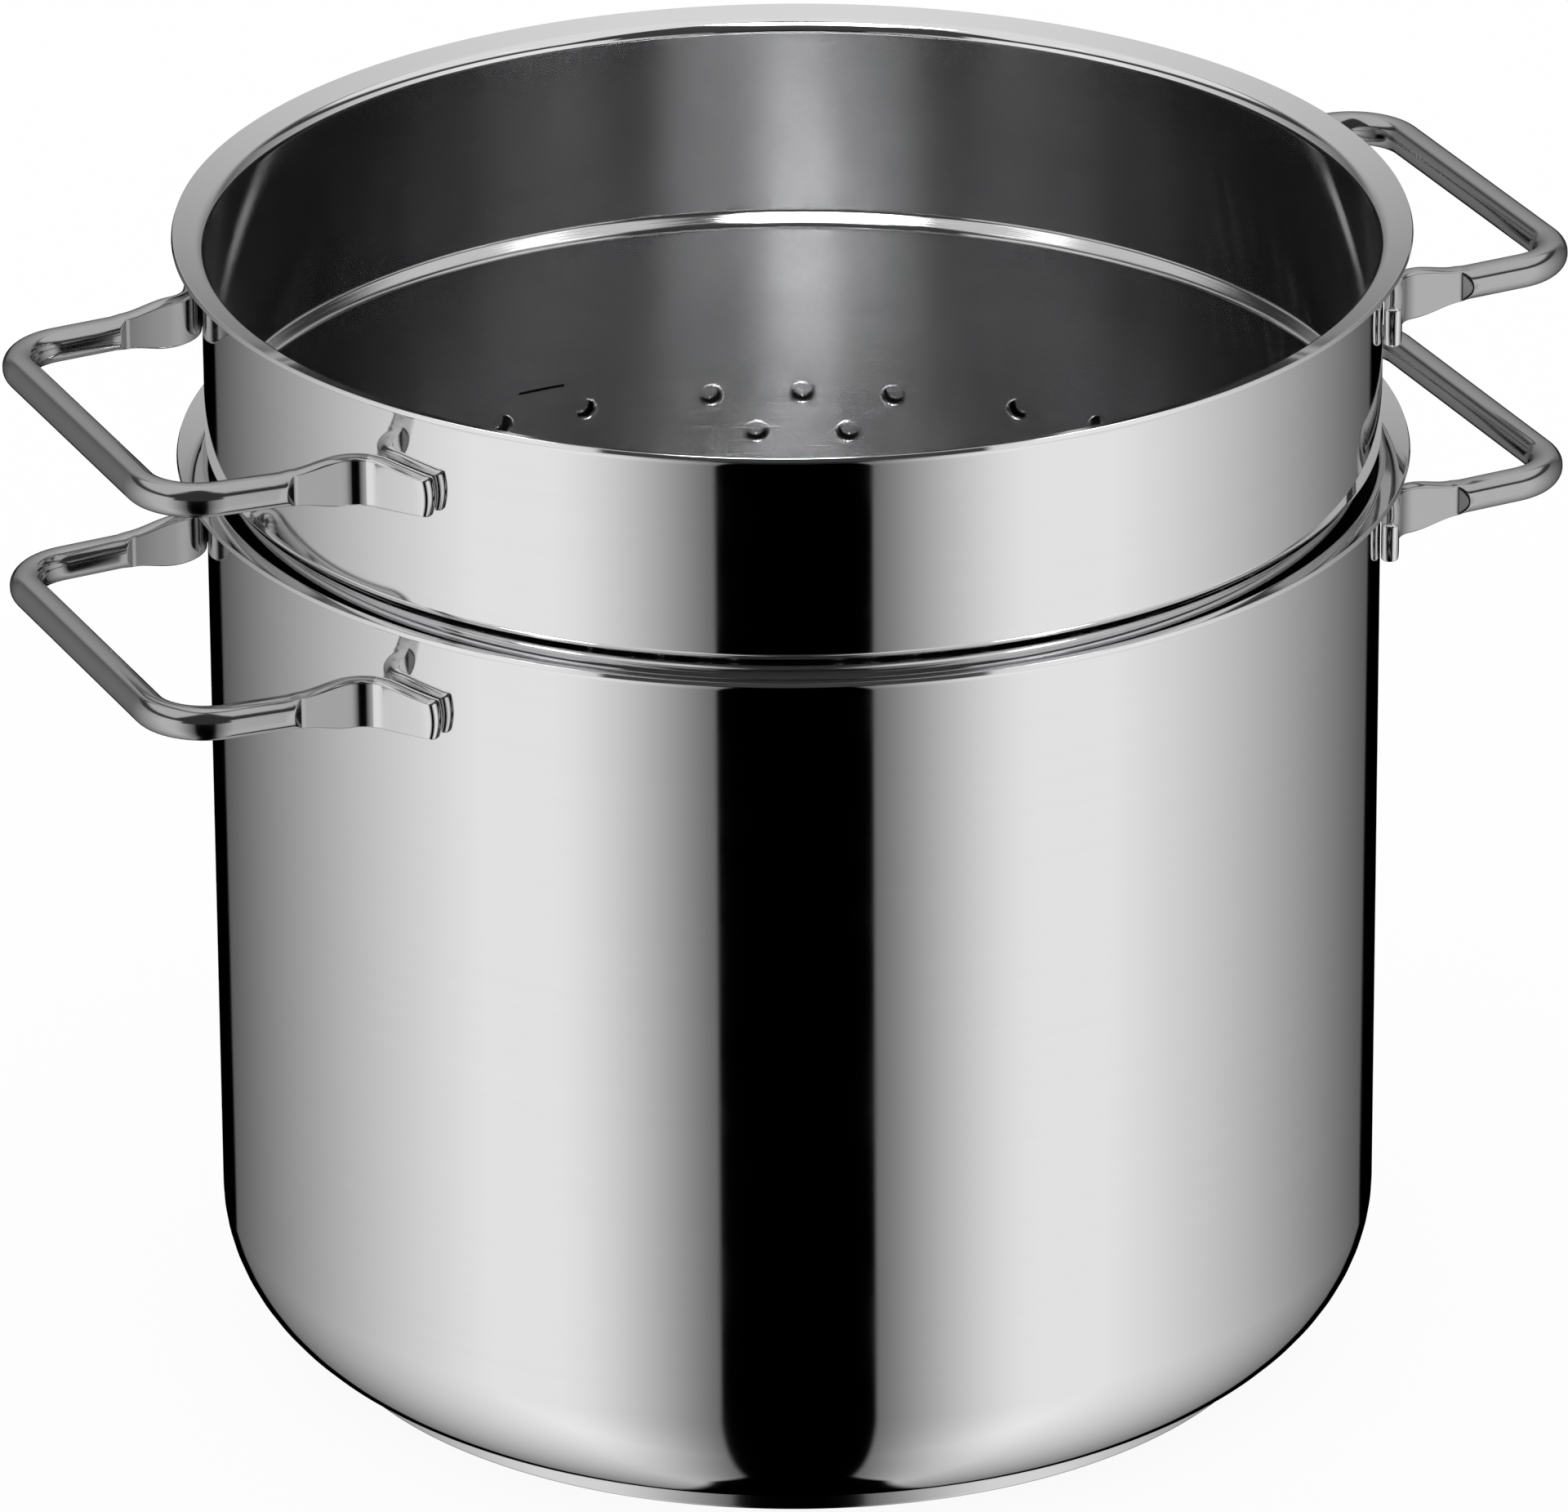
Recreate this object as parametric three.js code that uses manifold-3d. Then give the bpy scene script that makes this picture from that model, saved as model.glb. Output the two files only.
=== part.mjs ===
// A stovetop steamer: a tall steel pot on an encapsulated base, with a deep perforated insert
// that stands on the pot's floor and rises above its rim. Both carry two welded rod handles.
// Millimetres, +Z up. The origin is the middle of the base's underside, and the pot's handles lie along X.
import * as THREE from "three";
import { mergeGeometries, mergeVertices } from "three/addons/utils/BufferGeometryUtils.js";
import Module from "manifold-3d";

const wasm = await Module();
wasm.setup();

// Sheet and fits
const SHEET = 1; // steel sheet of the pot and of the insert
const FIT_GAP = 0.3; // clearance between two pieces that touch

// Pot
const POT_INNER_RADIUS = 120; // a 24 cm pot
const POT_HEIGHT = 195; // underside of the base to the edge of the rim
const HEEL_RADIUS = 27.8; // large round of the bottom corner, outside
const HEEL_FOOT_RADIUS = 5; // small round that runs the corner into the flat bottom
const HEEL_FOOT_ANGLE = 24; // degrees of the corner that the small round takes

// Encapsulated base
const CAP_RADIUS = 102.5;
const CAP_SHEET = 0.8;
const CAP_EDGE_RADIUS = 0.7;
const CORE_THICKNESS = 2.1;

// Flared rim of the pot and of the insert
const RIM_REACH = 6; // how far the edge stands out from the wall's outside
const RIM_BEND_RADIUS = 2.5; // middle of the sheet
const LIP_RISE = 19; // degrees above level

// Insert
const INSERT_TURN = -0.3; // degrees that the insert is turned in the pot
const SHOULDER_RISE = 3.1; // middle of the shoulder's upper bend above the pot's rim
const COLLAR_HEIGHT = 44.9; // upper wall, from that bend to the edge of the insert's rim
const BASKET_CLEARANCE = 1.5; // between the perforated wall and the pot's wall
const SHOULDER_SLOPE = 45; // degrees from level
const SHOULDER_BEND_RADIUS = 2; // middle of the sheet
const FOOT_RING_WIDTH = 10; // flat ring that the insert stands on
const FLOOR_RAISE = 5; // perforated floor above that ring
const FLOOR_STEP_ANGLE = 45;
const FLOOR_BEND_RADIUS = 2.5; // middle of the sheet

// Perforations
const HOLE_DIAMETER = 4.2;
const HOLE_SIDES = 6;
const HOLE_GROUPS = 11; // groups around the wall
const HOLE_TURN = -0.4; // degrees of the groups against the handles
const HOLE_PITCH = 19.7; // along a row, within a group
const ROW_PITCH = 8.9;
const FIRST_ROW_DROP = 38.5; // first row below the shoulder's lower bend
const ROW_COUNTS = [3, 2, 3, 2]; // holes of a group in each row, from the top
const FLOOR_RING_PITCH = 23;
const FLOOR_RINGS = 3;
const FLOOR_HOLES_PER_RING = 6; // times the ring's number

// Rod handles
const ROD_DIAMETER = 7;
const HANDLE_REACH = 35.4; // wall's outside to the middle of the cross bar
const HANDLE_WIDTH = 88; // between the corners, along the middle of the rod
const HANDLE_CORNER_RADIUS = 12.5; // middle of the rod
const HANDLE_DROP = 19; // middle of the rod below the rim's edge
const ARM_SPREAD = 3.5; // degrees that each arm turns outwards on its way to the wall
const BLADE_THICKNESS = 3.6;
const BLADE_ROOT_HEIGHT = 7.5;
const BLADE_BEND_HEIGHT = 10.9;
const BLADE_TIP_HEIGHT = 8.7;
const BLADE_LENGTH = 8; // flat stretch between the round rod and the bend
const BLADE_PRESS_LENGTH = 2; // where the round rod is pressed flat
const BLADE_BEND_RADIUS = 12; // middle of the blade
const BLADE_SQUARENESS = 5; // of its section, where 2 is round
const FOOT_LENGTH = 10.4; // from the bend to the tip, along the wall

// Fineness of the solids
const ROUND_SEGMENTS = 40;
const BEND_STEP = 18; // degrees of a bend that one facet takes
const ROD_SIDES = 10;

// Sizes that follow from these
const WALL_RADIUS = POT_INNER_RADIUS + SHEET / 2;
const POT_OUTER_RADIUS = POT_INNER_RADIUS + SHEET;
const BASE_HEIGHT = CAP_SHEET + CORE_THICKNESS + 2 * FIT_GAP;
const POT_FLOOR = BASE_HEIGHT + SHEET;
const BASKET_RADIUS = POT_INNER_RADIUS - BASKET_CLEARANCE - SHEET / 2;
const BASKET_HEEL_RADIUS = HEEL_RADIUS - SHEET - BASKET_CLEARANCE - SHEET / 2; // follows the pot's corner
const SHOULDER_TOP = POT_HEIGHT + SHOULDER_RISE;
const SHOULDER_FOOT = SHOULDER_TOP - (WALL_RADIUS - BASKET_RADIUS) * tangent(SHOULDER_SLOPE);
const INSERT_RIM = SHOULDER_TOP + COLLAR_HEIGHT;
const FOOT_RING_LEVEL = POT_FLOOR + FIT_GAP + SHEET / 2;
const FLOOR_LEVEL = FOOT_RING_LEVEL + FLOOR_RAISE;
const FOOT_RING_INNER = BASKET_RADIUS - BASKET_HEEL_RADIUS - FOOT_RING_WIDTH;
const FLOOR_EDGE = FOOT_RING_INNER - FLOOR_RAISE / tangent(FLOOR_STEP_ANGLE);
const PUNCH_LENGTH = 6 * SHEET; // well through the sheet on both sides

const steel = new THREE.MeshStandardMaterial({ color: 0xc9cacc, roughness: 0.12, metalness: 1 });
const satinSteel = new THREE.MeshStandardMaterial({ color: 0xb4b5b7, roughness: 0.3, metalness: 1 });
const aluminium = new THREE.MeshStandardMaterial({ color: 0xb9bcc0, roughness: 0.45, metalness: 1 });

function radians(degrees) {
  return THREE.MathUtils.degToRad(degrees);
}

function tangent(degrees) {
  return Math.tan(radians(degrees));
}

function polar(radius, angle) {
  return new THREE.Vector2(radius * Math.cos(angle), radius * Math.sin(angle));
}

// Points of a bend that turns by a given angle from a heading, with the heading at each point.
function bend(start, heading, turn, radius) {
  const steps = Math.max(1, Math.ceil(Math.abs(turn) / radians(BEND_STEP)));
  const side = Math.sign(turn);
  const centre = start.clone().add(polar(radius, heading + (side * Math.PI) / 2));
  return Array.from({ length: steps + 1 }, (_, step) => {
    const direction = heading + (turn * step) / steps;
    return { point: centre.clone().add(polar(radius, direction - (side * Math.PI) / 2)), heading: direction };
  });
}

// Middle line of a formed sheet: straight runs between corners, each rounded by its own radius.
function sheetLine(corners) {
  const line = [];
  corners.forEach(({ at, round }, index) => {
    const before = corners[index - 1];
    const after = corners[index + 1];
    if (!before || !after) {
      const [from, to] = before ? [before.at, at] : [at, after.at];
      line.push({ point: at, heading: to.clone().sub(from).angle() });
      return;
    }
    const heading = at.clone().sub(before.at).angle();
    const leaving = after.at.clone().sub(at).angle();
    const turn = Math.atan2(Math.sin(leaving - heading), Math.cos(leaving - heading));
    const setback = round * Math.tan(Math.abs(turn) / 2);
    line.push(...bend(at.clone().sub(polar(setback, heading)), heading, turn, round));
  });
  return line;
}

// Both faces of the sheet along its middle line, out along one and back along the other.
function sheetProfile(corners, thickness) {
  const line = sheetLine(corners);
  const face = (side) =>
    line.map(({ point, heading }) => point.clone().add(polar(thickness / 2, heading + (side * Math.PI) / 2)));
  return [...face(-1), ...face(1).reverse()];
}

// A profile of (radius, height) points turned about Z.
function turned(profile) {
  const geometry = new THREE.LatheGeometry(profile, ROUND_SEGMENTS);
  return geometry.rotateX(Math.PI / 2);
}

function corner(radius, height, round = 0) {
  return { at: new THREE.Vector2(radius, height), round };
}

// Corners of a flared rim above a wall, with the edge's top at a given height.
function rimCorners(edgeTop) {
  const rise = radians(LIP_RISE);
  const edgeRadius = POT_OUTER_RADIUS + RIM_REACH - (SHEET / 2) * Math.sin(rise);
  const edgeHeight = edgeTop - (SHEET / 2) * Math.cos(rise);
  const bendHeight = edgeHeight - (edgeRadius - WALL_RADIUS) * Math.tan(rise);
  return [corner(WALL_RADIUS, bendHeight, RIM_BEND_RADIUS), corner(edgeRadius, edgeHeight)];
}

// Pot: a drawn shell with a two-radius bottom corner and a flared rim.
function potShell() {
  const bottom = BASE_HEIGHT + SHEET / 2;
  const heel = HEEL_RADIUS - SHEET / 2;
  const heelFoot = HEEL_FOOT_RADIUS - SHEET / 2;
  const run = heelFoot * tangent(HEEL_FOOT_ANGLE / 2) + heel * tangent((90 - HEEL_FOOT_ANGLE) / 2);
  const slant = polar(run, radians(HEEL_FOOT_ANGLE));
  return turned(
    sheetProfile(
      [
        corner(0, bottom),
        corner(WALL_RADIUS - slant.x, bottom, heelFoot),
        corner(WALL_RADIUS, bottom + slant.y, heel),
        ...rimCorners(POT_HEIGHT),
      ],
      SHEET,
    ),
  );
}

// Base: a flat conducting disc in a shallow steel dish under the pot.
function baseCore() {
  const bottom = CAP_SHEET + FIT_GAP;
  const radius = CAP_RADIUS - CAP_SHEET - FIT_GAP;
  const top = bottom + CORE_THICKNESS;
  return turned([
    new THREE.Vector2(0, bottom),
    new THREE.Vector2(radius, bottom),
    new THREE.Vector2(radius, top),
    new THREE.Vector2(0, top),
  ]);
}

function baseCap() {
  const top = BASE_HEIGHT - FIT_GAP;
  const inner = CAP_RADIUS - CAP_SHEET;
  const edge = bend(new THREE.Vector2(CAP_RADIUS - CAP_EDGE_RADIUS, 0), 0, Math.PI / 2, CAP_EDGE_RADIUS);
  return turned([
    new THREE.Vector2(0, 0),
    ...edge.map(({ point }) => point),
    new THREE.Vector2(CAP_RADIUS, top),
    new THREE.Vector2(inner, top),
    new THREE.Vector2(inner, CAP_SHEET),
    new THREE.Vector2(0, CAP_SHEET),
  ]);
}

// Insert: raised floor, foot ring, perforated wall, shoulder, collar and flared rim in one sheet.
function insertBlank() {
  return turned(
    sheetProfile(
      [
        corner(0, FLOOR_LEVEL),
        corner(FLOOR_EDGE, FLOOR_LEVEL, FLOOR_BEND_RADIUS),
        corner(FOOT_RING_INNER, FOOT_RING_LEVEL, FLOOR_BEND_RADIUS),
        corner(BASKET_RADIUS, FOOT_RING_LEVEL, BASKET_HEEL_RADIUS),
        corner(BASKET_RADIUS, SHOULDER_FOOT, SHOULDER_BEND_RADIUS),
        corner(WALL_RADIUS, SHOULDER_TOP, SHOULDER_BEND_RADIUS),
        ...rimCorners(INSERT_RIM),
      ],
      SHEET,
    ),
  );
}

// One punch along Z, centred on the origin.
function punch() {
  const geometry = new THREE.CylinderGeometry(HOLE_DIAMETER / 2, HOLE_DIAMETER / 2, PUNCH_LENGTH, HOLE_SIDES);
  return geometry.rotateX(Math.PI / 2);
}

function wallPunches() {
  const punches = [];
  const pitch = HOLE_PITCH / BASKET_RADIUS;
  for (let group = 0; group < HOLE_GROUPS; group += 1) {
    const middle = radians(HOLE_TURN) + (group * 2 * Math.PI) / HOLE_GROUPS;
    ROW_COUNTS.forEach((count, row) => {
      const height = SHOULDER_FOOT - FIRST_ROW_DROP - row * ROW_PITCH;
      for (let hole = 0; hole < count; hole += 1) {
        const angle = middle + (hole - (count - 1) / 2) * pitch;
        const radial = punch().rotateY(Math.PI / 2).translate(BASKET_RADIUS, 0, height);
        punches.push(radial.rotateZ(angle));
      }
    });
  }
  return punches;
}

function floorPunches() {
  const punches = [punch().translate(0, 0, FLOOR_LEVEL)];
  for (let ring = 1; ring <= FLOOR_RINGS; ring += 1) {
    const count = ring * FLOOR_HOLES_PER_RING;
    for (let hole = 0; hole < count; hole += 1) {
      const place = polar(ring * FLOOR_RING_PITCH, (hole * 2 * Math.PI) / count);
      punches.push(punch().translate(place.x, place.y, FLOOR_LEVEL));
    }
  }
  return punches;
}

// A closed geometry as a solid for cutting, without the slivers that a pole leaves.
function solidOf(geometry) {
  const bare = new THREE.BufferGeometry();
  bare.setAttribute("position", geometry.getAttribute("position"));
  bare.setIndex(geometry.getIndex());
  const merged = mergeVertices(bare);
  const index = merged.getIndex().array;
  const triangles = [];
  for (let i = 0; i < index.length; i += 3) {
    const [a, b, c] = index.slice(i, i + 3);
    if (a !== b && b !== c && c !== a) triangles.push(a, b, c);
  }
  return new wasm.Manifold(
    new wasm.Mesh({
      numProp: 3,
      vertProperties: new Float32Array(merged.getAttribute("position").array),
      triVerts: new Uint32Array(triangles),
    }),
  );
}

function geometryOf(solid) {
  const { vertProperties, triVerts } = solid.getMesh();
  const geometry = new THREE.BufferGeometry();
  geometry.setAttribute("position", new THREE.BufferAttribute(vertProperties, 3));
  geometry.setIndex(new THREE.BufferAttribute(triVerts, 1));
  geometry.computeVertexNormals();
  return geometry;
}

function insertShell() {
  const punches = solidOf(mergeGeometries([...wallPunches(), ...floorPunches()]));
  return geometryOf(solidOf(insertBlank()).subtract(punches));
}

// Radius of the middle of a foot, which is welded to the wall's outside.
const FOOT_RADIUS = POT_OUTER_RADIUS + FIT_GAP + BLADE_THICKNESS / 2;

// Bend between a straight arm and the round path of the foot: where it starts and ends.
function footBend(armStart, heading) {
  const across = polar(BLADE_BEND_RADIUS, heading - Math.PI / 2);
  const along = polar(1, heading);
  const offset = armStart.clone().add(across);
  const reach = FOOT_RADIUS + BLADE_BEND_RADIUS;
  const towards = offset.dot(along);
  const distance = -towards - Math.sqrt(towards * towards - offset.lengthSq() + reach * reach);
  const centre = offset.clone().add(polar(distance, heading));
  const turn = centre.angle() + Math.PI / 2 - heading;
  return { start: centre.clone().sub(across), turn, footAngle: centre.angle() };
}

// One half of a handle from the middle of its cross bar to the tip of its foot, in plan.
// Each station has its half thickness, its half height and the squareness of its section.
function handleHalf() {
  const round = { thick: ROD_DIAMETER / 2, high: ROD_DIAMETER / 2, square: 2 };
  const blade = (height) => ({ thick: BLADE_THICKNESS / 2, high: height / 2, square: BLADE_SQUARENESS });
  const bar = POT_OUTER_RADIUS + HANDLE_REACH;
  const armHeading = Math.PI - radians(ARM_SPREAD);
  const cornerTurn = armHeading - Math.PI / 2;
  const setback = HANDLE_CORNER_RADIUS * Math.tan(cornerTurn / 2);
  const cornerStart = new THREE.Vector2(bar, HANDLE_WIDTH / 2 - setback);
  const rodCorner = bend(cornerStart, Math.PI / 2, cornerTurn, HANDLE_CORNER_RADIUS);
  const { start, turn, footAngle } = footBend(rodCorner.at(-1).point, armHeading);
  const back = (length) => ({ point: start.clone().sub(polar(length, armHeading)), heading: armHeading });
  const bladeBend = bend(start, armHeading, turn, BLADE_BEND_RADIUS);
  const sweep = FOOT_LENGTH / FOOT_RADIUS;
  const foot = (share) => ({
    point: polar(FOOT_RADIUS, footAngle + share * sweep),
    heading: footAngle + share * sweep + Math.PI / 2,
  });
  return [
    ...rodCorner.map((station) => ({ ...station, ...round })),
    { ...back(BLADE_LENGTH + BLADE_PRESS_LENGTH), ...round },
    { ...back(BLADE_LENGTH), ...blade(BLADE_ROOT_HEIGHT) },
    ...bladeBend.map((station) => ({ ...station, ...blade(BLADE_BEND_HEIGHT) })),
    { ...foot(0.5), ...blade((BLADE_BEND_HEIGHT + BLADE_TIP_HEIGHT) / 2) },
    { ...foot(1), ...blade(BLADE_TIP_HEIGHT) },
  ];
}

// The same half on the other side of the handle, run from its foot back to the cross bar.
function mirrored(half) {
  return half.toReversed().map((station) => ({
    ...station,
    point: new THREE.Vector2(station.point.x, -station.point.y),
    heading: Math.PI - station.heading,
  }));
}

function section({ point, heading, thick, high, square }) {
  const power = 2 / square;
  const across = polar(1, heading + Math.PI / 2);
  const swell = (value) => Math.sign(value) * Math.abs(value) ** power;
  return Array.from({ length: ROD_SIDES }, (_, side) => {
    const angle = ((side + 0.5) * 2 * Math.PI) / ROD_SIDES;
    const out = thick * swell(Math.cos(angle));
    return new THREE.Vector3(point.x + out * across.x, point.y + out * across.y, high * swell(Math.sin(angle)));
  });
}

// Sections joined in order, with a flat end on the first and on the last.
function loft(sections) {
  const sides = sections[0].length;
  const index = [];
  for (let ring = 0; ring + 1 < sections.length; ring += 1) {
    for (let side = 0; side < sides; side += 1) {
      const near = ring * sides + side;
      const nearNext = ring * sides + ((side + 1) % sides);
      index.push(near, nearNext, near + sides, nearNext, nearNext + sides, near + sides);
    }
  }
  const last = (sections.length - 1) * sides;
  for (let side = 1; side + 1 < sides; side += 1) {
    index.push(0, side + 1, side, last, last + side, last + side + 1);
  }
  const geometry = new THREE.BufferGeometry().setFromPoints(sections.flat());
  geometry.setIndex(index);
  geometry.computeVertexNormals();
  return geometry;
}

function handle() {
  const half = handleHalf();
  return loft([...mirrored(half), ...half].map(section));
}

function part(name, geometry, material) {
  const mesh = new THREE.Mesh(geometry, material);
  mesh.name = name;
  return mesh;
}

// The two handles of a vessel, under a rim at a given height.
function handles(vessel, rim) {
  const group = new THREE.Group();
  ["right", "left"].forEach((side, index) => {
    const rod = part(`${vessel}_handle_${side}`, handle(), steel);
    rod.position.z = rim - HANDLE_DROP;
    rod.rotation.z = index * Math.PI;
    group.add(rod);
  });
  return group;
}

const pot = new THREE.Group();
pot.add(part("pot_shell", potShell(), steel));
pot.add(part("base_core", baseCore(), aluminium));
pot.add(part("base_cap", baseCap(), steel));
pot.add(handles("pot", POT_HEIGHT));

const insert = new THREE.Group();
insert.rotation.z = radians(INSERT_TURN);
insert.add(part("insert_shell", insertShell(), satinSteel));
insert.add(handles("insert", INSERT_RIM));

const steamer = new THREE.Group();
steamer.add(pot, insert);

export default steamer;
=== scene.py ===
"""Dresses a stovetop steamer: a tall polished pot and the deep perforated insert that lifts out of it.

Lengths are in metres and angles in degrees, unless a name says otherwise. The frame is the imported
model's: +Z up, the origin under the middle of the base, and the pot's handles along X. A point of a
turned section is a complex number, radius + height * 1j, and a point of a plan is x + y * 1j.
"""

import cmath
import logging
import math
from collections.abc import Callable, Sequence
from dataclasses import dataclass, field, replace
from enum import Enum, IntEnum

import bmesh
import bpy
import numpy as np
from mathutils import Matrix, Vector
from mathutils.geometry import delaunay_2d_cdt


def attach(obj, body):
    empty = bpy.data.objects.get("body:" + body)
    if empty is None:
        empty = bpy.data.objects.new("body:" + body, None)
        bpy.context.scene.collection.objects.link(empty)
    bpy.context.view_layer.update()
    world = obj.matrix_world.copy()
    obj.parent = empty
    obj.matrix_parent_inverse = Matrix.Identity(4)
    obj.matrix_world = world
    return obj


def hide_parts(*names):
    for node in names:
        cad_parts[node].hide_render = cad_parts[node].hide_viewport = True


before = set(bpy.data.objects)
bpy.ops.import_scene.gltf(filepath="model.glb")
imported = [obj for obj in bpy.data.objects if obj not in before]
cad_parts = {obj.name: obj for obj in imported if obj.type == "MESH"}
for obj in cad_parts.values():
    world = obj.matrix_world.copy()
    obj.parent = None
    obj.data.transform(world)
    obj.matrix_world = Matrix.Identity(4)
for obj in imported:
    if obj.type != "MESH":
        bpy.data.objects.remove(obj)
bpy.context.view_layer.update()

LOG = logging.getLogger("steamer")

MM = 0.001
ML = 1e-6  # in cubic metres
HALF_PI = math.pi / 2
FULL_TURN = 2 * math.pi
WHITE = (1.0, 1.0, 1.0, 1.0)
ROUND_SEGMENTS = 264  # around a turned piece; a multiple of every count of repeated sectors
BEND_STEP = math.radians(6)  # of a bend in a sheet or a rod
EDGE_STEPS = 4  # around a rounded edge
WELD_DISTANCE = 0.001 * MM
NORMAL_STEP = 0.001 * MM  # how far a normal is followed to find where it points
ENCLOSED = 1  # the choice of triangles that the given edges enclose
SAME_POINT_MM = 1e-6  # distance within which the triangles share a point
MIRROR_BOUNCES = 12  # light goes back and forth inside the vessels
NORMAL_LAYER = "surface_normal"
SIDE_LAYER = "inner_side"


class Side(IntEnum):
    """The face of a formed sheet, which is also the number of its finish on the piece."""

    OUTSIDE = 0
    INSIDE = 1


class Body(Enum):
    """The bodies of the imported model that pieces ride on."""

    POT = "pot"
    INSERT = "insert"


class Slot(Enum):
    """Names of the record's material slots, one given with each new piece and not read."""

    POT = "polished_steel"
    INSERT = "insert_steel"
    HANDLE = "handle_steel"
    BASE = "base_steel"


# Sections and turned surfaces


@dataclass(frozen=True)
class Corner:
    """A corner of a sheet's middle line, rounded by a radius."""

    point: complex
    radius: float = 0.0


@dataclass(frozen=True)
class Station:
    """A point of a line and the direction, in radians, in which the line runs there."""

    point: complex
    heading: float


@dataclass(frozen=True)
class ProfilePoint:
    """A point of a section, the way in radians that its surface faces, and its side of the sheet."""

    point: complex
    facing: float
    side: Side = Side.OUTSIDE


@dataclass
class Surface:
    """Vertices with their normals, and faces with the side of the sheet that each is on.

    The normals are left out of a surface whose own faces give them.
    """

    points: np.ndarray
    faces: list[tuple[int, ...]]
    sides: list[int]
    normals: np.ndarray | None = None

    def turned(self, degrees: float) -> "Surface":
        """Turns the surface about Z.

        Args:
            degrees: How far it turns, seen from above against the clock.

        Returns:
            The turned copy.
        """
        turn = np.array(Matrix.Rotation(math.radians(degrees), 3, "Z"))
        normals = None if self.normals is None else self.normals @ turn.T
        return Surface(self.points @ turn.T, self.faces, self.sides, normals)

    def raised(self, height: float) -> "Surface":
        """Returns a copy moved up by a height."""
        return Surface(self.points + np.array([0, 0, height]), self.faces, self.sides, self.normals)


def joined(surfaces: Sequence[Surface]) -> Surface:
    """Puts several surfaces with normals into one, with their seams still open.

    Args:
        surfaces: The surfaces to join.

    Returns:
        One surface that holds all of them.
    """
    faces: list[tuple[int, ...]] = []
    start = 0
    for surface in surfaces:
        faces += [tuple(start + corner for corner in face) for face in surface.faces]
        start += len(surface.points)
    return Surface(
        np.concatenate([surface.points for surface in surfaces]),
        faces,
        [side for surface in surfaces for side in surface.sides],
        np.concatenate([surface.normals for surface in surfaces]),
    )


def bend(start: complex, heading: float, turn: float, radius: float) -> list[Station]:
    """Runs a line around a bend.

    Args:
        start: Where the bend starts.
        heading: The line's direction there, in radians.
        turn: How far the line turns, in radians, positive to the left.
        radius: The bend's radius.

    Returns:
        The stations of the bend with both of its ends.
    """
    steps = max(1, math.ceil(abs(turn) / BEND_STEP))
    square = math.copysign(HALF_PI, turn)
    centre = start + cmath.rect(radius, heading + square)
    headings = [heading + turn * step / steps for step in range(steps + 1)]
    return [Station(centre + cmath.rect(radius, along - square), along) for along in headings]


def sheet_line(corners: Sequence[Corner]) -> list[Station]:
    """Runs a sheet's middle line through its corners, rounding each by its own radius.

    Args:
        corners: The corners, where the first and the last are the line's ends.

    Returns:
        The stations of the whole line.
    """
    line = [Station(corners[0].point, cmath.phase(corners[1].point - corners[0].point))]
    for before, here, after in zip(corners, corners[1:], corners[2:]):
        heading = cmath.phase(here.point - before.point)
        turn = cmath.phase((after.point - here.point) / (here.point - before.point))
        setback = here.radius * math.tan(abs(turn) / 2)
        line += bend(here.point - cmath.rect(setback, heading), heading, turn, here.radius)
    line.append(Station(corners[-1].point, cmath.phase(corners[-1].point - corners[-2].point)))
    return line


def sheet_face(line: Sequence[Station], thickness: float, side: Side) -> list[ProfilePoint]:
    """Offsets one face of a sheet from its middle line.

    Args:
        line: The middle line, with the outside on its right.
        thickness: The sheet's thickness.
        side: The face to make. The inside runs back along the line.

    Returns:
        The section of that face.
    """
    square = HALF_PI if side is Side.INSIDE else -HALF_PI
    ordered = reversed(line) if side is Side.INSIDE else line
    return [
        ProfilePoint(
            station.point + cmath.rect(thickness / 2, station.heading + square),
            station.heading + square,
            side,
        )
        for station in ordered
    ]


def rounded_corner(
    centre: complex, radius: float, start: float, turn: float, side: Side = Side.OUTSIDE
) -> list[ProfilePoint]:
    """Rounds a convex corner of a section.

    Args:
        centre: The middle of the round.
        radius: Its radius.
        start: The direction in radians that the surface faces at first.
        turn: How far that direction turns.
        side: The side of the sheet that the round belongs to.

    Returns:
        The section of the round.
    """
    facings = [start + turn * step / EDGE_STEPS for step in range(EDGE_STEPS + 1)]
    return [ProfilePoint(centre + cmath.rect(radius, facing), facing, side) for facing in facings]


def sheet_with_edge(line: Sequence[Station], thickness: float, edge_round: float) -> list[ProfilePoint]:
    """Makes both faces of a sheet and the cut edge that joins them at the end of its middle line.

    Args:
        line: The middle line, with the outside on its right.
        thickness: The sheet's thickness.
        edge_round: The radius that takes the sharpness off the edge.

    Returns:
        The section, out along the outside and back along the inside.
    """
    end = line[-1]
    inset = end.point - cmath.rect(edge_round, end.heading)
    shortened = [*line[:-1], Station(inset, end.heading)]
    across = cmath.rect(thickness / 2 - edge_round, end.heading - HALF_PI)
    return [
        *sheet_face(shortened, thickness, Side.OUTSIDE)[:-1],
        *rounded_corner(inset + across, edge_round, end.heading - HALF_PI, HALF_PI),
        *rounded_corner(inset - across, edge_round, end.heading, HALF_PI),
        *sheet_face(shortened, thickness, Side.INSIDE)[1:],
    ]


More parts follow.
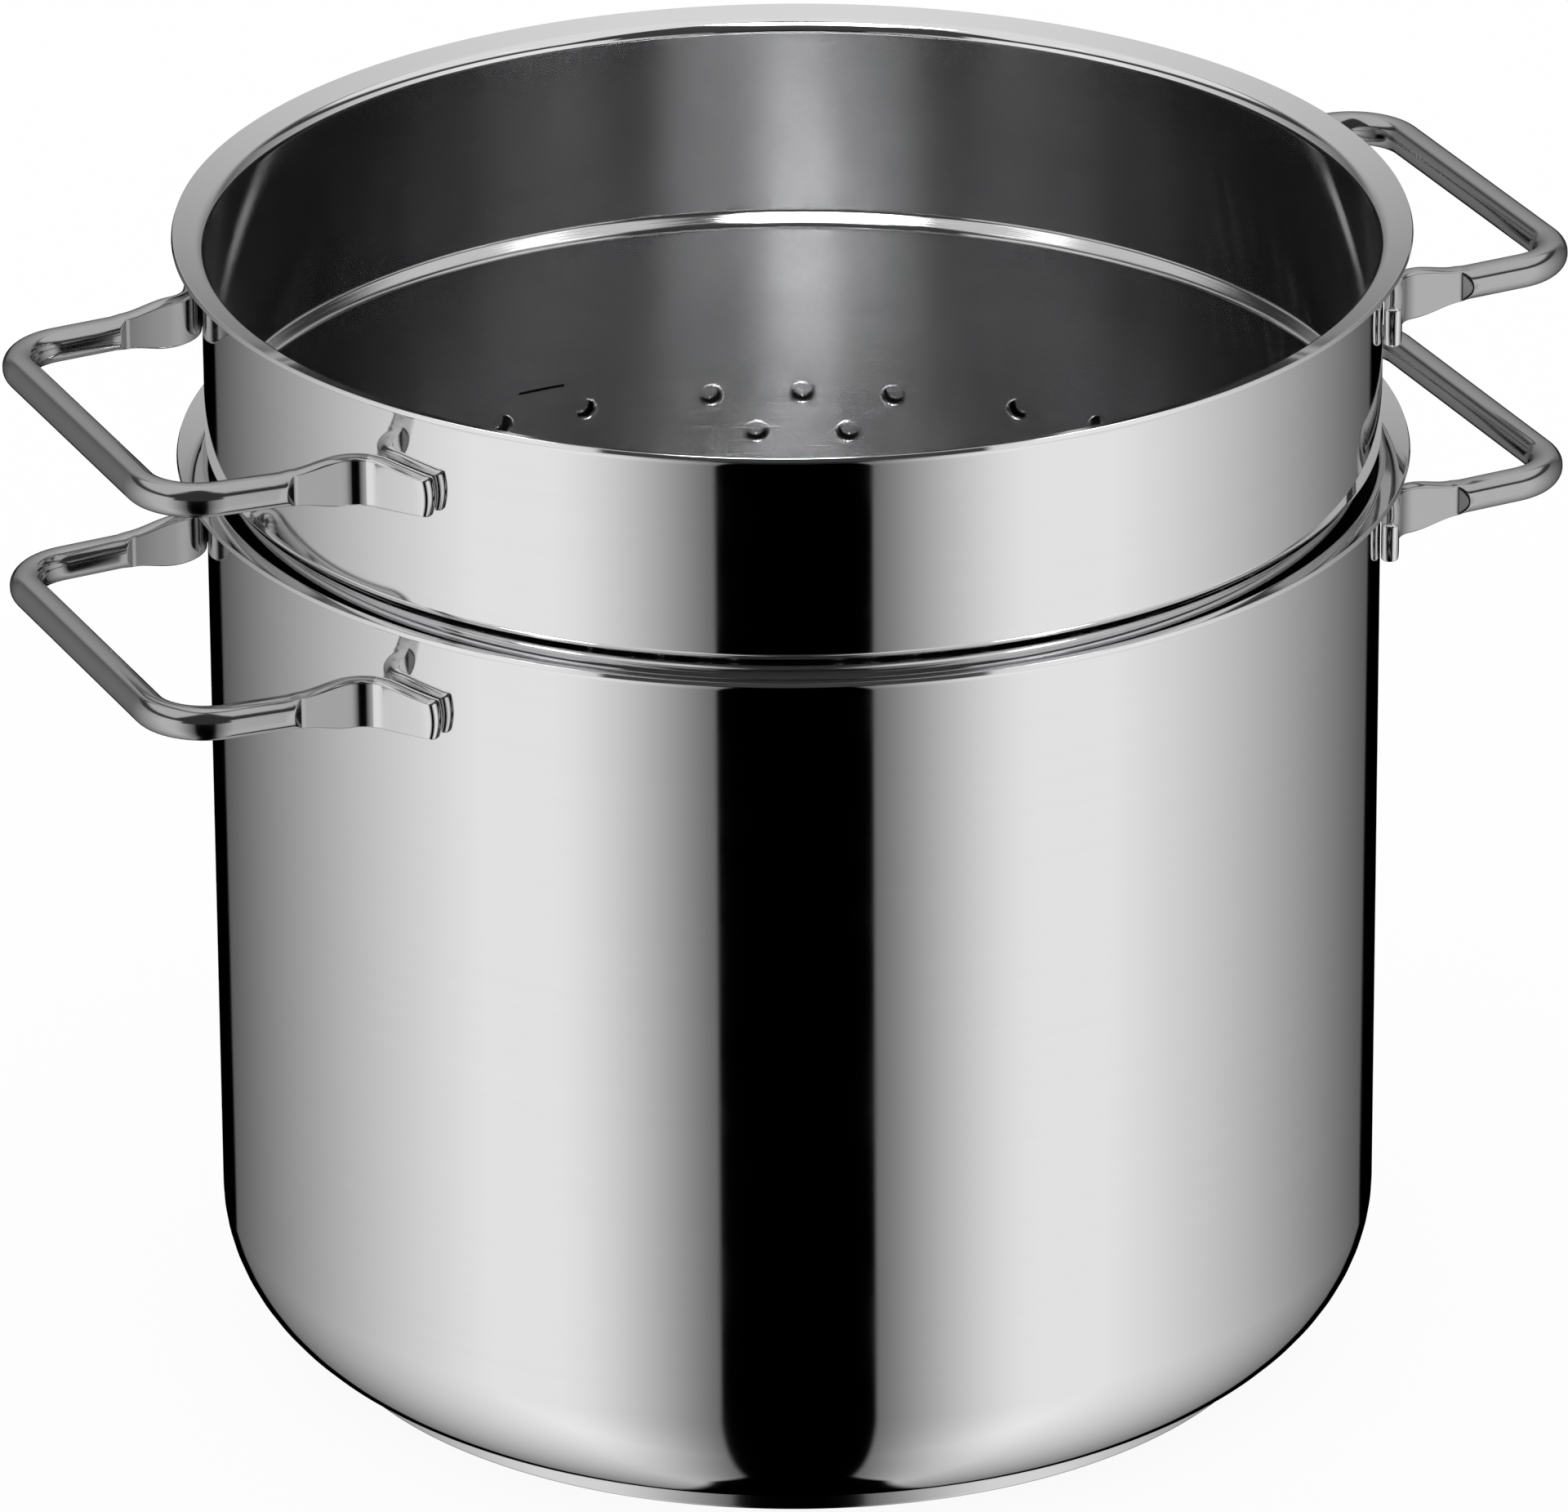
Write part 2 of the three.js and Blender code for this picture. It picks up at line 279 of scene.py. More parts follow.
def lathe(profile: Sequence[ProfilePoint]) -> Surface:
    """Turns a section about Z.

    Args:
        profile: The section, with the solid on the left of the way that it runs.

    Returns:
        The turned surface.
    """
    angles = np.arange(ROUND_SEGMENTS) * FULL_TURN / ROUND_SEGMENTS
    around = np.stack([np.cos(angles), np.sin(angles)], axis=1)
    radii = np.array([max(0.0, at.point.real) for at in profile])
    heights = np.array([at.point.imag for at in profile])
    facings = np.array([at.facing for at in profile])

    def spun(radial: np.ndarray, axial: np.ndarray) -> np.ndarray:
        """Carries (radial, axial) pairs around Z.

        Args:
            radial: The parts away from Z.
            axial: The parts along Z.

        Returns:
            The vectors, segment by segment.
        """
        flat = around[:, None, :] * radial[None, :, None]
        upright = np.broadcast_to(axial[None, :, None], (ROUND_SEGMENTS, len(profile), 1))
        return np.concatenate([flat, upright], axis=2).reshape(-1, 3)

    faces = []
    sides = []
    count = len(profile)
    for segment in range(ROUND_SEGMENTS):
        here = segment * count
        beyond = (segment + 1) % ROUND_SEGMENTS * count
        for step in range(count - 1):
            faces.append((here + step, beyond + step, beyond + step + 1, here + step + 1))
            sides.append(int(profile[step].side))
    return Surface(spun(radii, heights), faces, sides, spun(np.cos(facings), np.sin(facings)))


def make_piece(name: str, surface: Surface, finishes: Sequence[bpy.types.Material]) -> bpy.types.Object:
    """Makes a smooth object at the origin, with its seams and poles closed.

    Args:
        name: The object's name.
        surface: The shape, in place.
        finishes: The materials, by the number of the side.

    Returns:
        The object, linked to the scene.
    """
    mesh = bpy.data.meshes.new(name)
    mesh.from_pydata(surface.points.tolist(), [], surface.faces)
    mesh.polygons.foreach_set("material_index", surface.sides)
    if surface.normals is not None:
        mesh.attributes.new(NORMAL_LAYER, "FLOAT_VECTOR", "POINT")
        mesh.attributes[NORMAL_LAYER].data.foreach_set("vector", surface.normals.ravel())
    solid = bmesh.new()
    solid.from_mesh(mesh)
    bmesh.ops.remove_doubles(solid, verts=solid.verts, dist=WELD_DISTANCE)
    open_edges = sum(1 for edge in solid.edges if not edge.is_contiguous)
    volume = solid.calc_volume(signed=True)
    solid.to_mesh(mesh)
    solid.free()
    mesh.shade_smooth()
    if surface.normals is not None:
        normals = np.empty(3 * len(mesh.vertices))
        mesh.attributes[NORMAL_LAYER].data.foreach_get("vector", normals)
        mesh.attributes.remove(mesh.attributes[NORMAL_LAYER])
        mesh.normals_split_custom_set_from_vertices(normals.reshape(-1, 3))
    for finish in finishes:
        mesh.materials.append(finish)
    piece = bpy.data.objects.new(name, mesh)
    bpy.context.scene.collection.objects.link(piece)
    faces = len(mesh.polygons)
    LOG.info("%s: %d faces, %d open edges, %.1f ml", name, faces, open_edges, volume / ML)
    return piece


def dress(piece: bpy.types.Object, body: Body, node: str, slot: Slot) -> None:
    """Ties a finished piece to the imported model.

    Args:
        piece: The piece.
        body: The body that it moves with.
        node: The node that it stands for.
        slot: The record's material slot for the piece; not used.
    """
    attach(piece, body.value)
    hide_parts(node)


# Finishes


class Graph:
    """Adds nodes to a tree and joins them, with one short call for each node."""

    COLOR_A = 6  # the sockets of a Mix node that hold colours
    COLOR_B = 7
    COLOR_RESULT = 2

    def __init__(self, tree: bpy.types.NodeTree) -> None:
        """Works on a tree, which keeps the nodes that it has."""
        self.tree = tree

    def add(self, kind: str, inputs: dict | None = None, **settings: object) -> bpy.types.Node:
        """Adds a node.

        Args:
            kind: The node's type.
            inputs: Values or output sockets, by the name or number of the input.
            settings: The node's own properties.

        Returns:
            The node.
        """
        node = self.tree.nodes.new(kind)
        for name, value in settings.items():
            setattr(node, name, value)
        for name, value in (inputs or {}).items():
            if isinstance(value, bpy.types.NodeSocket):
                self.tree.links.new(value, node.inputs[name])
            else:
                node.inputs[name].default_value = value
        return node

    def maths(self, operation: str, *values: object) -> bpy.types.NodeSocket:
        """Returns the output of a Math node on one, two or three values or sockets."""
        return self.add("ShaderNodeMath", dict(enumerate(values)), operation=operation).outputs[0]

    def product(self, *values: object) -> bpy.types.NodeSocket:
        """Multiplies two or more values or sockets.

        Args:
            values: The factors.

        Returns:
            The product's socket.
        """
        first, *others = values
        for other in others:
            first = self.maths("MULTIPLY", first, other)
        return first

    def blend(
        self, one: object, share: float, other: object, other_share: float
    ) -> bpy.types.NodeSocket:
        """Returns the sum of two sockets, each times its own share."""
        return self.maths("MULTIPLY_ADD", one, share, self.maths("MULTIPLY", other, other_share))

    def mixed_color(self, factor: object, low: object, high: object) -> bpy.types.NodeSocket:
        """Returns the colour between two others, where a factor of 0 gives the first."""
        inputs = {"Factor": factor, self.COLOR_A: low, self.COLOR_B: high}
        return self.add("ShaderNodeMix", inputs, data_type="RGBA").outputs[self.COLOR_RESULT]

    def ramp(
        self, value: object, low: float, high: float, smooth: bool = False
    ) -> bpy.types.NodeSocket:
        """Runs a value from 0 to 1 between two limits, and holds it there beyond them.

        Args:
            value: The socket that is read.
            low: Where the result is 0. It may be above high.
            high: Where the result is 1.
            smooth: Whether the ends ease in and out.

        Returns:
            The result's socket.
        """
        node = self.add(
            "ShaderNodeMapRange",
            {"Value": value, "From Min": low, "From Max": high},
            interpolation_type="SMOOTHSTEP" if smooth else "LINEAR",
        )
        return node.outputs["Result"]


def shader_group(
    name: str, inputs: dict[str, tuple[str, object]], outputs: Sequence[str]
) -> bpy.types.NodeTree:
    """Starts a shader node group.

    Args:
        name: The group's name.
        inputs: Socket type and default value, by the name of the input.
        outputs: The names of its outputs, which are all plain values.

    Returns:
        The group's tree, with its input and output nodes.
    """
    tree = bpy.data.node_groups.new(name, "ShaderNodeTree")
    for socket_name, (kind, default) in inputs.items():
        socket = tree.interface.new_socket(socket_name, in_out="INPUT", socket_type=kind)
        if default is not None:
            socket.default_value = default
    for socket_name in outputs:
        tree.interface.new_socket(socket_name, in_out="OUTPUT", socket_type="NodeSocketFloat")
    tree.nodes.new("NodeGroupInput")
    tree.nodes.new("NodeGroupOutput")
    return tree


def turned_lines_group() -> bpy.types.NodeTree:
    """Makes the fine lines that polishing on a spindle leaves around a sheet.

    Returns:
        A group that gives the lines' height and a broader shade, both about 0 to 1.
    """
    line_detail = 3.0
    shade_detail = 2.0
    shade_widening = 11.0  # of the streaks of shade, against the lines
    tree = shader_group(
        "turned_lines",
        {
            "Vector": ("NodeSocketVector", None),
            "Spacing": ("NodeSocketFloat", 0.2 * MM),
            "Length": ("NodeSocketFloat", 40 * MM),
        },
        ["Height", "Shade"],
    )
    graph = Graph(tree)
    given = tree.nodes["Group Input"].outputs
    at = graph.add("ShaderNodeSeparateXYZ", {0: given["Vector"]}).outputs
    flat = graph.maths("ADD", graph.product(at[0], at[0]), graph.product(at[1], at[1]))
    run = graph.maths("ADD", graph.maths("SQRT", flat), at[2])

    def streaks(widening: float, detail: float) -> bpy.types.NodeSocket:
        """Draws noise out around Z.

        Args:
            widening: The lines' spacing, as a multiple of the one given to the group.
            detail: How many finer layers the noise has.

        Returns:
            The noise's socket.
        """
        spacing = graph.maths("MULTIPLY", given["Spacing"], widening)
        place = graph.add(
            "ShaderNodeCombineXYZ",
            {
                0: graph.maths("DIVIDE", at[0], given["Length"]),
                1: graph.maths("DIVIDE", at[1], given["Length"]),
                2: graph.maths("DIVIDE", run, spacing),
            },
        )
        noise = graph.add(
            "ShaderNodeTexNoise", {"Vector": place.outputs[0], "Scale": 1.0, "Detail": detail}
        )
        return noise.outputs["Fac"]

    result = tree.nodes["Group Output"].inputs
    tree.links.new(streaks(1.0, line_detail), result["Height"])
    tree.links.new(streaks(shade_widening, shade_detail), result["Shade"])
    return tree


def polish_haze_group() -> bpy.types.NodeTree:
    """Makes the faint clouds that wiping leaves on polished metal.

    Returns:
        A group that gives the clouds as one value from 0 to 1.
    """
    detail = 4.0
    unevenness = 0.6
    clear, cloudy = 0.35, 0.75  # levels of the noise at which the haze starts and is full
    tree = shader_group(
        "polish_haze",
        {"Vector": ("NodeSocketVector", None), "Size": ("NodeSocketFloat", 30 * MM)},
        ["Haze"],
    )
    graph = Graph(tree)
    given = tree.nodes["Group Input"].outputs
    scale = graph.maths("DIVIDE", 1.0, given["Size"])
    noise = graph.add(
        "ShaderNodeTexNoise",
        {"Vector": given["Vector"], "Scale": scale, "Detail": detail, "Roughness": unevenness},
    )
    clouds = graph.ramp(noise.outputs["Fac"], clear, cloudy, smooth=True)
    tree.links.new(clouds, tree.nodes["Group Output"].inputs["Haze"])
    return tree


@dataclass(frozen=True)
class FillMark:
    """A short line, etched into the inner wall, up to which the vessel may be filled."""

    height: float = 163.6 * MM
    half_thickness: float = 0.32 * MM
    azimuth: float = 93.0
    half_length: float = 5.45 * MM
    depth: float = 0.95  # how much of the steel's brightness it takes

    def mask(self, graph: Graph, coordinates: bpy.types.NodeSocket) -> bpy.types.NodeSocket:
        """Masks the line on a surface.

        Args:
            graph: The material's graph.
            coordinates: The object's own coordinates.

        Returns:
            A socket that is 1 on the line and 0 elsewhere.
        """
        at = graph.add("ShaderNodeSeparateXYZ", {0: coordinates}).outputs
        azimuth = math.radians(self.azimuth)
        along = graph.blend(at[0], -math.sin(azimuth), at[1], math.cos(azimuth))
        outwards = graph.blend(at[0], math.cos(azimuth), at[1], math.sin(azimuth))
        near = graph.maths("COMPARE", at[2], self.height, self.half_thickness)
        inside = graph.maths("COMPARE", along, 0.0, self.half_length)
        return graph.product(graph.maths("GREATER_THAN", outwards, 0.0), near, inside)


@dataclass(frozen=True)
class MetalFinish:
    """A finish on bare metal: its colour, its gloss and the lines that the work left on it."""

    name: str
    color: tuple[float, float, float]
    roughness: float
    haze_roughness: float  # added where the surface is cloudy
    line_spacing: float
    line_length: float
    line_depth: float
    shade_contrast: float  # how much broader streaks darken the metal
    anisotropy: float = 0.0
    grain_turn: float = 0.25  # of a full turn, from the lines to the way that their gloss is drawn out
    mark: FillMark | None = None

    def material(self, lines: bpy.types.NodeTree, haze: bpy.types.NodeTree) -> bpy.types.Material:
        """Builds the finish.

        Args:
            lines: The group of turned lines.
            haze: The group of polishing haze.

        Returns:
            The material.
        """
        material = bpy.data.materials.new(self.name)
        material.use_nodes = True
        graph = Graph(material.node_tree)
        shader = material.node_tree.nodes["Principled BSDF"]
        link = material.node_tree.links.new
        coordinates = graph.add("ShaderNodeTexCoord").outputs["Object"]
        turned = graph.add(
            "ShaderNodeGroup",
            {"Vector": coordinates, "Spacing": self.line_spacing, "Length": self.line_length},
            node_tree=lines,
        )
        clouds = graph.add("ShaderNodeGroup", {"Vector": coordinates}, node_tree=haze)
        dark = tuple(channel * (1 - self.shade_contrast) for channel in self.color)
        color = graph.mixed_color(turned.outputs["Shade"], (*dark, 1.0), (*self.color, 1.0))
        if self.mark is not None:
            etched = tuple(channel * (1 - self.mark.depth) for channel in self.color)
            color = graph.mixed_color(self.mark.mask(graph, coordinates), color, (*etched, 1.0))
        link(color, shader.inputs["Base Color"])
        rough = graph.maths("MULTIPLY_ADD", clouds.outputs["Haze"], self.haze_roughness, self.roughness)
        link(rough, shader.inputs["Roughness"])
        relief = graph.add(
            "ShaderNodeBump",
            {"Height": turned.outputs["Height"], "Strength": 1.0, "Distance": self.line_depth},
        )
        link(relief.outputs["Normal"], shader.inputs["Normal"])
        shader.inputs["Metallic"].default_value = 1.0
        shader.inputs["Anisotropic"].default_value = self.anisotropy
        if self.anisotropy > 0:
            shader.inputs["Anisotropic Rotation"].default_value = self.grain_turn
            around = graph.add("ShaderNodeTangent", direction_type="RADIAL", axis="Z")
            link(around.outputs["Tangent"], shader.inputs["Tangent"])
        return material


class Finishes:
    """All the finishes of the steamer, each built once."""

    def __init__(self) -> None:
        """Builds the shared groups and the materials."""
        lines = turned_lines_group()
        haze = polish_haze_group()
        polished = MetalFinish(
            name="polished_steel_outside",
            color=(0.83, 0.83, 0.835),
            roughness=0.045,
            haze_roughness=0.02,
            line_spacing=0.25 * MM,
            line_length=60 * MM,
            line_depth=0.00004 * MM,
            shade_contrast=0.03,
        )
        satin = MetalFinish(
            name="satin_steel_inside_pot",
            color=(0.64, 0.64, 0.645),
            roughness=0.09,
            haze_roughness=0.02,
            line_spacing=0.3 * MM,
            line_length=45 * MM,
            line_depth=0.02 * MM,
            shade_contrast=0.12,
            anisotropy=0.93,
        )
        marked_satin = replace(satin, name="satin_steel_inside_insert", mark=FillMark())
        rod = MetalFinish(
            name="satin_steel_rod",
            color=(0.46, 0.46, 0.465),
            roughness=0.12,
            haze_roughness=0.03,
            line_spacing=0.5 * MM,
            line_length=4 * MM,
            line_depth=0.0001 * MM,
            shade_contrast=0.03,
        )
        foot = replace(rod, name="polished_steel_foot", color=(0.78, 0.78, 0.785), roughness=0.11)
        base = MetalFinish(
            name="satin_steel_base",
            color=(0.74, 0.74, 0.745),
            roughness=0.09,
            haze_roughness=0.03,
            line_spacing=0.6 * MM,
            line_length=90 * MM,
            line_depth=0.004 * MM,
            shade_contrast=0.1,
        )
        core = MetalFinish(
            name="plain_aluminium",
            color=(0.76, 0.77, 0.78),
            roughness=0.4,
            haze_roughness=0.1,
            line_spacing=0.5 * MM,
            line_length=30 * MM,
            line_depth=0.004 * MM,
            shade_contrast=0.1,
        )
        self.polished = polished.material(lines, haze)
        self.pot_satin = satin.material(lines, haze)
        self.insert_satin = marked_satin.material(lines, haze)
        self.rod = rod.material(lines, haze)
        self.foot = foot.material(lines, haze)
        self.base = base.material(lines, haze)
        self.core = core.material(lines, haze)


# Sizes that the pot, the insert and the handles share


@dataclass(frozen=True)
class Sheet:
    """The steel sheet of both vessels and the flared rim that it ends in."""

    thickness: float = 1 * MM
    edge_round: float = 0.15 * MM
    wall_inner_radius: float = 120 * MM
    rim_reach: float = 6 * MM
    rim_bend_radius: float = 2.5 * MM
    lip_rise: float = 19.0
    fit_gap: float = 0.3 * MM

    @property
    def wall_radius(self) -> float:
        """Radius of the middle of the upright wall."""
        return self.wall_inner_radius + self.thickness / 2

    @property
    def wall_outer_radius(self) -> float:
        """Radius of the outside of the upright wall."""
        return self.wall_inner_radius + self.thickness

    def rim(self, edge_top: float) -> list[Corner]:
        """Places the corners of the flared rim.

        Args:
            edge_top: The height of the top of the rim's edge.

        Returns:
            The bend above the wall, and the end of the sheet.
        """
        rise = math.radians(self.lip_rise)
        edge_radius = self.wall_outer_radius + self.rim_reach - self.thickness / 2 * math.sin(rise)
        edge_height = edge_top - self.thickness / 2 * math.cos(rise)
        bend_height = edge_height - (edge_radius - self.wall_radius) * math.tan(rise)
        return [
            Corner(complex(self.wall_radius, bend_height), self.rim_bend_radius),
            Corner(complex(edge_radius, edge_height)),
        ]

    def turned_wall(self, corners: Sequence[Corner]) -> Surface:
        """Turns a wall that ends in the rim, which is polished on both of its faces.

        Args:
            corners: The corners of the sheet's middle line, with the rim's at the end.

        Returns:
            The turned wall.
        """
        profile = sheet_with_edge(sheet_line(corners), self.thickness, self.edge_round)
        limit = self.wall_inner_radius + WELD_DISTANCE
        return lathe([replace(at, side=Side.OUTSIDE) if at.point.real > limit else at for at in profile])


@dataclass
class Pot:
    """The tall pot: a drawn shell on an encapsulated base."""

    sheet: Sheet
    finishes: Finishes
    height: float = 195 * MM
    heel_radius: float = 27.8 * MM
    heel_foot_radius: float = 5 * MM
    heel_foot_angle: float = 24.0
    cap_radius: float = 102.5 * MM
    cap_sheet: float = 0.8 * MM
    cap_edge_radius: float = 0.7 * MM
    cap_lip_round: float = 0.15 * MM
    core_thickness: float = 2.1 * MM

    @property
    def base_height(self) -> float:
        """Height of the underside of the drawn shell."""
        return self.cap_sheet + self.core_thickness + 2 * self.sheet.fit_gap

    @property
    def floor(self) -> float:
        """Height of the pot's floor inside."""
        return self.base_height + self.sheet.thickness

    def shell(self) -> Surface:
        """Turns the drawn shell with its two-radius bottom corner and its flared rim.

        Returns:
            The shell, in place.
        """
        sheet = self.sheet
        middle = self.base_height + sheet.thickness / 2
        heel = self.heel_radius - sheet.thickness / 2
        heel_foot = self.heel_foot_radius - sheet.thickness / 2
        foot_angle = math.radians(self.heel_foot_angle)
        run = heel_foot * math.tan(foot_angle / 2) + heel * math.tan((HALF_PI - foot_angle) / 2)
        slant = cmath.rect(run, foot_angle)
        corners = [
            Corner(complex(0, middle)),
            Corner(complex(sheet.wall_radius - slant.real, middle), heel_foot),
            Corner(complex(sheet.wall_radius, middle + slant.imag), heel),
            *sheet.rim(self.height),
        ]
        return sheet.turned_wall(corners)

    def cap(self) -> Surface:
        """Turns the shallow dish that closes the base from below.

        Returns:
            The dish, in place.
        """
        top = self.base_height - self.sheet.fit_gap
        inner = self.cap_radius - self.cap_sheet
        lip = self.cap_lip_round
        edge = self.cap_edge_radius
        down, out, up, back = -HALF_PI, 0.0, HALF_PI, math.pi
        return lathe(
            [
                ProfilePoint(complex(0, 0), down),
                *rounded_corner(complex(self.cap_radius - edge, edge), edge, down, HALF_PI),
                *rounded_corner(complex(self.cap_radius - lip, top - lip), lip, out, HALF_PI),
                *rounded_corner(complex(inner + lip, top - lip), lip, up, HALF_PI),
                ProfilePoint(complex(inner, self.cap_sheet), back),
                ProfilePoint(complex(inner, self.cap_sheet), up),
                ProfilePoint(complex(0, self.cap_sheet), up),
            ]
        )

    def build(self) -> bpy.types.Object:
        """Makes and ties the pot's own pieces, and finishes the hidden core.

        Returns:
            The drawn shell.
        """
        shell = make_piece("drawn_pot", self.shell(), [self.finishes.polished, self.finishes.pot_satin])
        dress(shell, Body.POT, "pot_shell", Slot.POT)
        cap = make_piece("base_dish", self.cap(), [self.finishes.base])
        dress(cap, Body.POT, "base_cap", Slot.BASE)
        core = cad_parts["base_core"].data
        core.materials.clear()
        core.materials.append(self.finishes.core)
        return shell


# Perforated panels


@dataclass(frozen=True)
class Perforation:
    """A punched hole with a shallow dimple around it, a rounded entry and a sharper exit."""

    diameter: float = 4.2 * MM
    dimple_width: float = 0.6 * MM
    dimple_depth: float = 0.03 * MM
    entry_round: float = 0.45 * MM
    exit_round: float = 0.12 * MM
    sides: int = 20
    dimple_steps: int = 2

    @property
    def _slope(self) -> float:
        """Steepness of the dimple where it meets the hole."""
        return 2 * self.dimple_depth / self.dimple_width

    @property
    def dimple_inner(self) -> float:
        """Radius at which the dimple passes into the rounded entry."""
        lean = math.atan(self._slope)
        return self.diameter / 2 + self.entry_round * (1 - math.sin(lean))

    @property
    def reach(self) -> float:
        """Radius of everything that the hole forms."""
        return self.dimple_inner + self.dimple_width

    def _dimple(self, base: float, side: Side) -> list[ProfilePoint]:
        """Runs the section of one face of the dimple.

        Args:
            base: The depth of that face in the flat sheet.
            side: The face.

        Returns:
            The section from the dimple's rim to the hole.
        """
        points = []
        for step in range(self.dimple_steps + 1):
            share = step / self.dimple_steps
            radius = self.reach - share * self.dimple_width
            lean = math.atan(self._slope * share)
            facing = -HALF_PI - lean if side is Side.INSIDE else HALF_PI - lean
            depth = base + self.dimple_depth * share**2
            points.append(ProfilePoint(complex(radius, depth), facing, side))
        return points

    def profile(self, thickness: float) -> list[ProfilePoint]:
        """Runs the section of the hole through a sheet, as distance from its axis and depth.

        Args:
            thickness: The sheet's thickness.

        Returns:
            The section from the flat inside, through the hole, to the flat outside.
        """
        lean = math.atan(self._slope)
        entry = self._dimple(0.0, Side.INSIDE)
        entry_start = -HALF_PI - lean
        entry_centre = entry[-1].point - cmath.rect(self.entry_round, entry_start)
        exit_face = self._dimple(thickness, Side.OUTSIDE)
        exit_depth = exit_face[-1].point.imag - self.exit_round
        exit_centre = complex(self.diameter / 2 + self.exit_round, exit_depth)
        return [
            *entry[:-1],
            *rounded_corner(entry_centre, self.entry_round, entry_start, lean - HALF_PI, Side.INSIDE),
            *rounded_corner(exit_centre, self.exit_round, -math.pi, -HALF_PI - lean),
            *reversed(exit_face[:-1]),
        ]


@dataclass
class Panel:
    """A flat pattern of holes in a sheet that is laid on the insert, with points across + along * 1j."""

    border: list[complex]
    inner_points: list[complex]
    holes: list[complex]
    perforation: Perforation
    thickness: float
    grid_clearance: float = 1.15  # of a hole's reach, in which the flat sheet has no inner points

    def _ring(self, centre: complex) -> list[complex]:
        """Returns the points at which a hole's own surface meets the flat sheet."""
        reach, sides = self.perforation.reach, self.perforation.sides
        return [centre + cmath.rect(reach, FULL_TURN * side / sides) for side in range(sides)]

    def _flat(self) -> tuple[list[complex], list[tuple[int, int, int]]]:
        """Covers what is left between the border and the holes with triangles.

        Returns:
            The points, and the triangles against the clock.
        """
        spare = self.perforation.reach * self.grid_clearance
        points = [*self.border]
        edges = [(index, (index + 1) % len(self.border)) for index in range(len(self.border))]
        for centre in self.holes:
            ring = self._ring(centre)
            start = len(points)
            edges += [(start + side, start + (side + 1) % len(ring)) for side in range(len(ring))]
            points += ring
        points += [p for p in self.inner_points if all(abs(p - centre) > spare for centre in self.holes)]
        scaled = [Vector((point.real / MM, point.imag / MM)) for point in points]
        _, _, faces, sources, _, _ = delaunay_2d_cdt(scaled, edges, [], ENCLOSED, SAME_POINT_MM)
        hole_clear = self.perforation.reach * math.cos(math.pi / self.perforation.sides)
        kept = []
        for face in faces:
            triangle = [sources[corner][0] for corner in face]
            middle = sum(points[corner] for corner in triangle) / 3
            if all(abs(middle - centre) > hole_clear for centre in self.holes):
                kept.append(tuple(triangle))
        return points, kept

    def surface(self, place: Callable[[complex, float], np.ndarray]) -> Surface:
        """Lays the panel on the insert.

        Args:
            place: Gives the point for a place in the pattern and a depth from the inside.

        Returns:
            The panel's two faces and the surfaces of its holes.
        """
        spots: list[complex] = []
        depths: list[float] = []
        normals: list[tuple[complex, float]] = []
        faces: list[tuple[int, ...]] = []
        sides: list[int] = []
        flat, triangles = self._flat()
        for side, depth in ((Side.INSIDE, 0.0), (Side.OUTSIDE, self.thickness)):
            start = len(spots)
            spots += flat
            depths += [depth] * len(flat)
            normals += [(0j, -1.0 if side is Side.INSIDE else 1.0)] * len(flat)
            for a, b, c in triangles:
                corners = (a, c, b) if side is Side.INSIDE else (a, b, c)
                faces.append(tuple(start + corner for corner in corners))
                sides.append(int(side))
        profile = self.perforation.profile(self.thickness)
        count = self.perforation.sides
        for centre in self.holes:
            start = len(spots)
            for at in profile:
                for step in range(count):
                    direction = cmath.rect(1.0, FULL_TURN * step / count)
                    spots.append(centre + at.point.real * direction)
                    depths.append(at.point.imag)
                    normals.append((math.cos(at.facing) * direction, math.sin(at.facing)))
            for row, at in enumerate(profile[:-1]):
                for step in range(count):
                    near = start + row * count + step
                    beside = start + row * count + (step + 1) % count
                    faces.append((near, near + count, beside + count, beside))
                    sides.append(int(at.side))
        points = np.array([place(spot, depth) for spot, depth in zip(spots, depths)])
        facing = np.zeros_like(points)
        for index, (flatwise, deeper) in enumerate(normals):
            spot = spots[index] + NORMAL_STEP * flatwise
            moved = place(spot, depths[index] + NORMAL_STEP * deeper)
            facing[index] = (moved - points[index]) / np.linalg.norm(moved - points[index])
        return Surface(points, faces, sides, facing)


